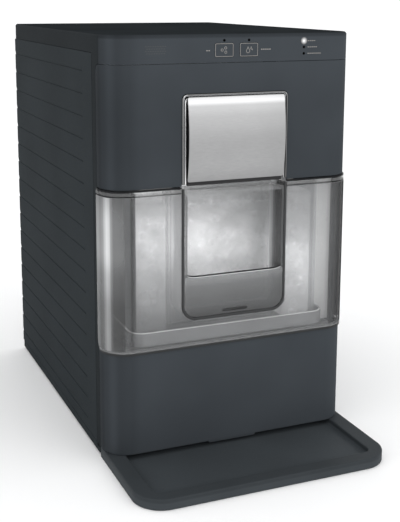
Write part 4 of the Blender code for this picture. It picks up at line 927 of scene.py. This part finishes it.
def make_bin():
    bin_look = prism("ice_bin_look", [bin_plan(0.0)], 'Z', BIN_LOW.z, BIN_HIGH.z)
    combine(bin_look, [prism("bin_hollow", [bin_plan(0.0022)], 'Z', BIN_LOW.z + 0.0025, 0.3)])
    piece(bin_look, "drawer", [BIN, BIN_LEFT_SHADE, BIN_RIGHT_LIT], "ice_bin", 0.0005, 2)
    # The bin's left wall gets the dark copy as painted shade and its right wall the pale copy as
    # painted light.
    paint(bin_look, lambda centre, normal: (1 + (centre.x > 0))
          * (abs(centre.x) > BIN_HIGH.x - 0.003 and abs(normal.x) > 0.75))


def make_base():
    """Shallow drawer base that carries the bin, with a runner under each side."""
    wall, front = 0.002, FRONT + 0.002
    plan, hollow_plan = (rounded_box((BASE_LOW.x + inset, front + inset),
                                     (BASE_HIGH.x - inset, BASE_HIGH.y - inset), 0.014 - inset)
                         for inset in (0.0, wall))
    base = prism("drawer_base_look", [plan], 'Z', 0.1137, BASE_HIGH.z)
    combine(base, [prism("base_hollow", [hollow_plan], 'Z', 0.1162, 0.14)])
    runners = [box("runner", (x - 0.004, FRONT + 0.034, BASE_LOW.z),
                   (x + 0.004, FRONT + 0.184, 0.115)) for x in (-0.092, 0.092)]
    piece(base, "drawer", [BASIN, LEDGE], "drawer_base", 0.0006, 2)
    # The top faces get the pale ledge plastic: painted highlight and glow.
    paint(base, lambda centre, normal: int(centre.z > BASE_HIGH.z - 0.0008))
    piece(joined("drawer_runners", runners), "drawer", BASIN, soft=0.0006)


def make_ice():
    """Nuggets heaped in the bin: a dense skin of them over a lumpy core."""
    rng = random.Random(7)
    inset = 0.0032
    floor = BIN_LOW.z + 0.003
    half = BIN_HIGH.x - inset
    notch, notch_back = notch_of(inset)
    front = BIN_LOW.y + inset
    back = BIN_HIGH.y - inset
    size = 0.0048
    spacing = 0.0082
    columns = 12

    def near(cell, first, spread):
        return first + cell * spacing + rng.uniform(-spread, spread)

    def allowed(x, y, reach):
        if abs(x) > half - reach or y < front + reach or y > back - reach:
            return False
        return abs(x) > notch + reach or y > notch_back + reach

    work = bmesh.new()
    for level in range(int((0.25 - floor) / spacing) + 1):
        for ix in range(-columns, columns + 1):
            for iy in range(2 * columns):
                x = near(ix, 0.0, 0.0022)
                y = near(iy, front + 0.004, 0.0022)
                z = near(level, floor + 0.004, 0.002)
                radius = size * rng.uniform(0.85, 1.15)
                lift = 0.243 + 0.006 * noise.noise(Vector((x * 28, y * 28, 1.7)))
                if not allowed(x, y, radius * 0.92) or z > lift:
                    continue
                near_front = y < (front if abs(x) > notch else notch_back) + 0.017
                if near_front or abs(x) > half - 0.012 or z > lift - 0.014:
                    add_nugget(work, (x, y, z), radius, rng)
    nuggets = built("ice_nuggets", work)
    nuggets.data.shade_smooth()
    nuggets.data.materials.append(ICE)
    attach(nuggets, "drawer")
    core_half = half - 0.008
    plan = rounded_box((-core_half, notch_back + 0.004), (core_half, back - 0.008), 0.006, 6)
    core = prism("ice_core", [plan], 'Z', floor, 0.233)
    piece(core, "drawer", ICE, soft=0.004)
    for side, name in ((-1, "ice_core_left"), (1, "ice_core_right")):
        low, high = sorted((side * (notch - 0.0006), side * (half + 0.0004)))
        wing = box(name, (low, front + 0.006, floor), (high, notch_back + 0.012, 0.245))
        piece(wing, "drawer", ICE, soft=0.003)


def add_nugget(work, centre, radius, rng):
    """A small chewed-looking lump of compressed ice."""
    made = bmesh.ops.create_icosphere(work, subdivisions=1, radius=radius)["verts"]
    seed = Vector((rng.uniform(0, 50), rng.uniform(0, 50), rng.uniform(0, 50)))
    for vert in made:
        vert.co *= 1 + 0.3 * noise.noise(vert.co * 260 + seed)
    stretch = Matrix.Diagonal((1.0, 1.0, rng.uniform(1.0, 1.35), 1.0))
    turn = Matrix.Rotation(rng.uniform(0, pi), 4, Vector((rng.uniform(-1, 1), rng.uniform(-1, 1), 0.3)))
    bmesh.ops.transform(work, matrix=Matrix.Translation(centre) @ turn @ stretch, verts=made)


# ---- scoop
def scoop_outline(inset):
    half = SCOOP_HIGH.x - inset
    return rounded_box((-half, SCOOP_LOW.z + inset), (half, SCOOP_HIGH.z - inset),
                       (0.0115 - inset, 0.003), 12)


def slot_outline(grow=0.0, segments=8):
    return rounded_box((-SLOT_HALF - grow, SLOT_LOW - grow), (SLOT_HALF + grow, SLOT_HIGH + grow),
                       0.001 + grow, segments)


def lip_curve(shift=0.0):
    """Top edge of the scoop's front wall, from left to right; its ends rise to the sides."""
    steps, run, rise = 12, 0.012, 0.0018
    right = [(SCOOP_HIGH.x - SCOOP_WALL - run * step / steps,
              SCOOP_LIP + shift + rise * (1 - sin(pi / 2 * step / steps)) ** 2)
             for step in range(steps + 1)]
    return [(-x, z) for x, z in right] + right[::-1]


def make_scoop():
    front, back = SCOOP_LOW.y, SCOOP_HIGH.y
    bowl = prism("scoop_look", [scoop_outline(0.0)], 'Y', front, back)
    combine(bowl, [prism("scoop_hollow", [scoop_outline(SCOOP_WALL)], 'Y', front + SCOOP_WALL,
                         back - SCOOP_WALL)])
    right, top = SCOOP_HIGH.x - SCOOP_WALL, SCOOP_HIGH.z - 0.0042
    mouth = prism("scoop_mouth", [[(right, top), (-right, top)] + lip_curve()], 'Y',
                  front - BEYOND, FRONT + 0.01)
    slot = prism("scoop_slot", [slot_outline(segments=6)], 'Y', front - BEYOND, FRONT + 0.005)
    combine(bowl, [mouth, slot])
    # The dark ring round the drain slot is painted shade.
    rim = prism("scoop_slot_rim", [slot_outline(0.0004), slot_outline()], 'Y', front - 0.0002,
                front + 0.001)
    piece(rim, "scoop", WINDOW_SHADE_LINE)
    piece(bowl, "scoop", [SCOOP, SCOOP_SHADE, DOCK, SCOOP_LEFT_LIT], "scoop_bowl",
          0.0004, 2)

    def bowl_painted_light(centre, normal):
        # The front gets the painted shade of the front plastic, the left walls the pale copy as painted
        # light, and the right walls and floor the dock plastic with its painted shade.
        if centre.y < FRONT + 0.0016 and centre.z < SCOOP_LIP + 0.004 and abs(normal.y) > 0.5:
            return 1
        if abs(normal.x) > 0.6 and centre.x < 0:
            return 3
        return 2 * int(abs(normal.x) > 0.6 or centre.z < SCOOP_LOW.z + 0.006)

    paint(bowl, bowl_painted_light)
    # The pale strip along the lip is a painted highlight; the dark line just above it is a painted
    # shadow.
    half_thick = 0.0003
    strip = prism("scoop_lip", [lip_curve(-half_thick) + lip_curve(half_thick)[::-1]], 'Y',
                  front - 0.0003, front + 0.0024)
    piece(strip, "scoop", SCOOP_LIP_HIGHLIGHT, soft=0.0002, segments=2)
    outline = lip_curve(half_thick + 0.0008) + lip_curve(half_thick + 0.0001)[::-1]
    line = prism("scoop_lip_shadow_line", [outline], 'Y', front, front + 0.0022)
    piece(line, "scoop", WINDOW_RIM_SHADOW)


# ---- tray
def make_tray():
    half, front, back = TRAY_HIGH.x, TRAY_LOW.y, TRAY_HIGH.y
    floor, top, above = 0.005, TRAY_HIGH.z, 0.02
    plan = rounded_box((-half, front), (half, back), (0.028, 0.002), 24)
    tray = prism("tray_look", [plan], 'Z', TRAY_LOW.z, top)
    inner = half - 0.0165
    basin = prism("basin", [rounded_box((-inner, front + 0.0145), (inner, back - 0.006), 0.006, 10)],
                  'Z', floor, above)
    notch = box("notch", (-0.04, back - 0.012, 0.007), (0.04, back + BEYOND, above))
    combine(tray, [basin, notch])
    tray.data.shade_smooth()
    round_between(tray, "rim", 0.0018, lambda point: point.z > top - 0.0001)
    round_between(tray, "floor", 0.003, lambda point: abs(point.z - floor) < 0.0001)
    settle(tray)
    piece(tray, "tray", TRAY, "drip_tray", 0.0004, 2)


# ---- CAD nodes that keep their shape
KEPT = {
    SIDE: "base_pan rear_panel",
    LID: "fill_deck",
    BLACK: "handle_recess bin_full_sensor water_pump level_float fan_shroud fan_rotor gear_case "
           "gear_case_cover",
    RUBBER: "cord_gland drain_plug front_left_foot front_right_foot rear_left_foot "
            "rear_right_foot",
    WHITE: "light_guide bin_deck water_tank float_stem drive_gear",
    CHUTE: "rear_partition ice_chute",
    BOARD: "control_board main_board",
    ENAMEL: "compressor compressor_base",
    TURNED: "lid_hinge_pin left_drawer_rail right_drawer_rail fan_motor freezing_cylinder auger "
            "motor_pinion drive_motor",
    FINS: "condenser_fins",
    COPPER: "cooling_coil discharge_pipe",
    HOSE: "fill_pipe pump_hose drain_spout",
    BIN_LIGHT: "bin_lamp",
}
ROUND = ("pump_hose cooling_coil discharge_pipe fan_rotor auger motor_pinion drive_gear "
         "condenser_fins control_board main_board").split()


def finish_cad_nodes():
    """Materials and rounded edges; nodes that are round already keep their edges."""
    for made, names in KEPT.items():
        for name in names.split():
            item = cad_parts[name]
            item.data.materials.clear()
            item.data.materials.append(made)
            paint(item, lambda centre, normal: 0)
            item.data.shade_smooth()
            if name in ROUND:
                weld(item)
                item.modifiers.new("normals", 'WEIGHTED_NORMAL')
            else:
                soften(item, 0.0003, 2, 50)


def make_screws():
    """Pan-head screws that hold the rear panel on."""
    low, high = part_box("rear_panel")
    arm, half, bottom = 0.0019, 0.0003, high.y + 0.0003
    places = [(x, z) for x in (low.x + 0.0075, high.x - 0.0075)
              for z in (low.z + 0.01, 0.2, high.z - 0.01)]
    for number, (x, z) in enumerate(places, 1):
        head = prism(f"rear_screw_{number}", [circle((x, z), 0.0032, 28)], 'Y', high.y,
                     high.y + 0.0009)
        bars = [box("bar", (x - across, bottom, z + start), (x + across, high.y + 0.002, z + end))
                for across, start, end in ((arm, -half, half), (half, half + 0.0001, arm),
                                           (half, -arm, -half - 0.0001))]
        combine(head, [joined("cross", bars)])
        piece(head, "housing", SCREW, soft=0.0003, segments=2)


# ---- stage
def make_floor():
    work = bmesh.new()
    bmesh.ops.create_circle(work, cap_ends=True, segments=96, radius=60.0)
    floor = built("floor", work)
    look = Look("pale_floor")
    tint = look.mixed(look.grain(1.2, 2.0), grey(0.955, 0), grey(0.975, 0))
    floor.data.materials.append(look.surface(Base_Color=tint, Roughness=0.9, Specular_IOR_Level=0.1))


def area_light(name, place, aim, size, power):
    data = bpy.data.lights.new(name, 'AREA')
    data.shape = 'RECTANGLE'
    data.size, data.size_y = size
    data.energy = power
    light = linked(name, data)
    light.location = place
    light.rotation_mode = 'QUATERNION'
    light.rotation_quaternion = (Vector(aim) - Vector(place)).to_track_quat('-Z', 'Y')


def make_lights():
    world = bpy.data.worlds.new("studio")
    bpy.context.scene.world = world
    world.use_nodes = True
    sky = world.node_tree.nodes["Background"]
    sky.inputs["Color"].default_value = (0.99, 0.995, 1.0, 1)
    sky.inputs["Strength"].default_value = 1.12
    area_light("front_softbox", (0.9, -2.5, 1.1), (0, -0.1, 0.22), (3.0, 2.2), 20.0)
    area_light("left_softbox", (-1.9, -0.9, 0.8), (0, 0.0, 0.2), (1.2, 1.2), 3.0)


def make_camera():
    """The viewpoint: to the left of the front, a little above the top."""
    yaw, pitch, roll = 0.3952, 0.1793, 0.0032
    ahead = Vector((sin(yaw) * cos(pitch), cos(yaw) * cos(pitch), -sin(pitch)))
    level = Vector((cos(yaw), -sin(yaw), 0))
    upward = level.cross(ahead)
    right = level * cos(roll) + upward * sin(roll)
    up = upward * cos(roll) - level * sin(roll)
    data = bpy.data.cameras.new("camera")
    data.sensor_width = 36.0
    data.lens = 68.29
    data.shift_x = 0.00876
    data.shift_y = -0.1652
    camera = linked("camera", data)
    turn = Matrix((right, up, -ahead)).transposed().to_4x4()
    camera.matrix_world = Matrix.Translation((-0.3819, FRONT - 0.8193, 0.4336)) @ turn
    bpy.context.scene.camera = camera


make_front_shell()
make_cover()
make_side_panels()
make_lid()
make_keys()
make_strip_marks()
make_lamps()
make_buzzer_holes()
make_handle()
make_trim()
make_window()
make_dock()
make_bin()
make_base()
make_ice()
make_scoop()
make_tray()
finish_cad_nodes()
make_screws()
make_floor()
make_lights()
make_camera()
bpy.context.scene.view_settings.view_transform = 'Standard'
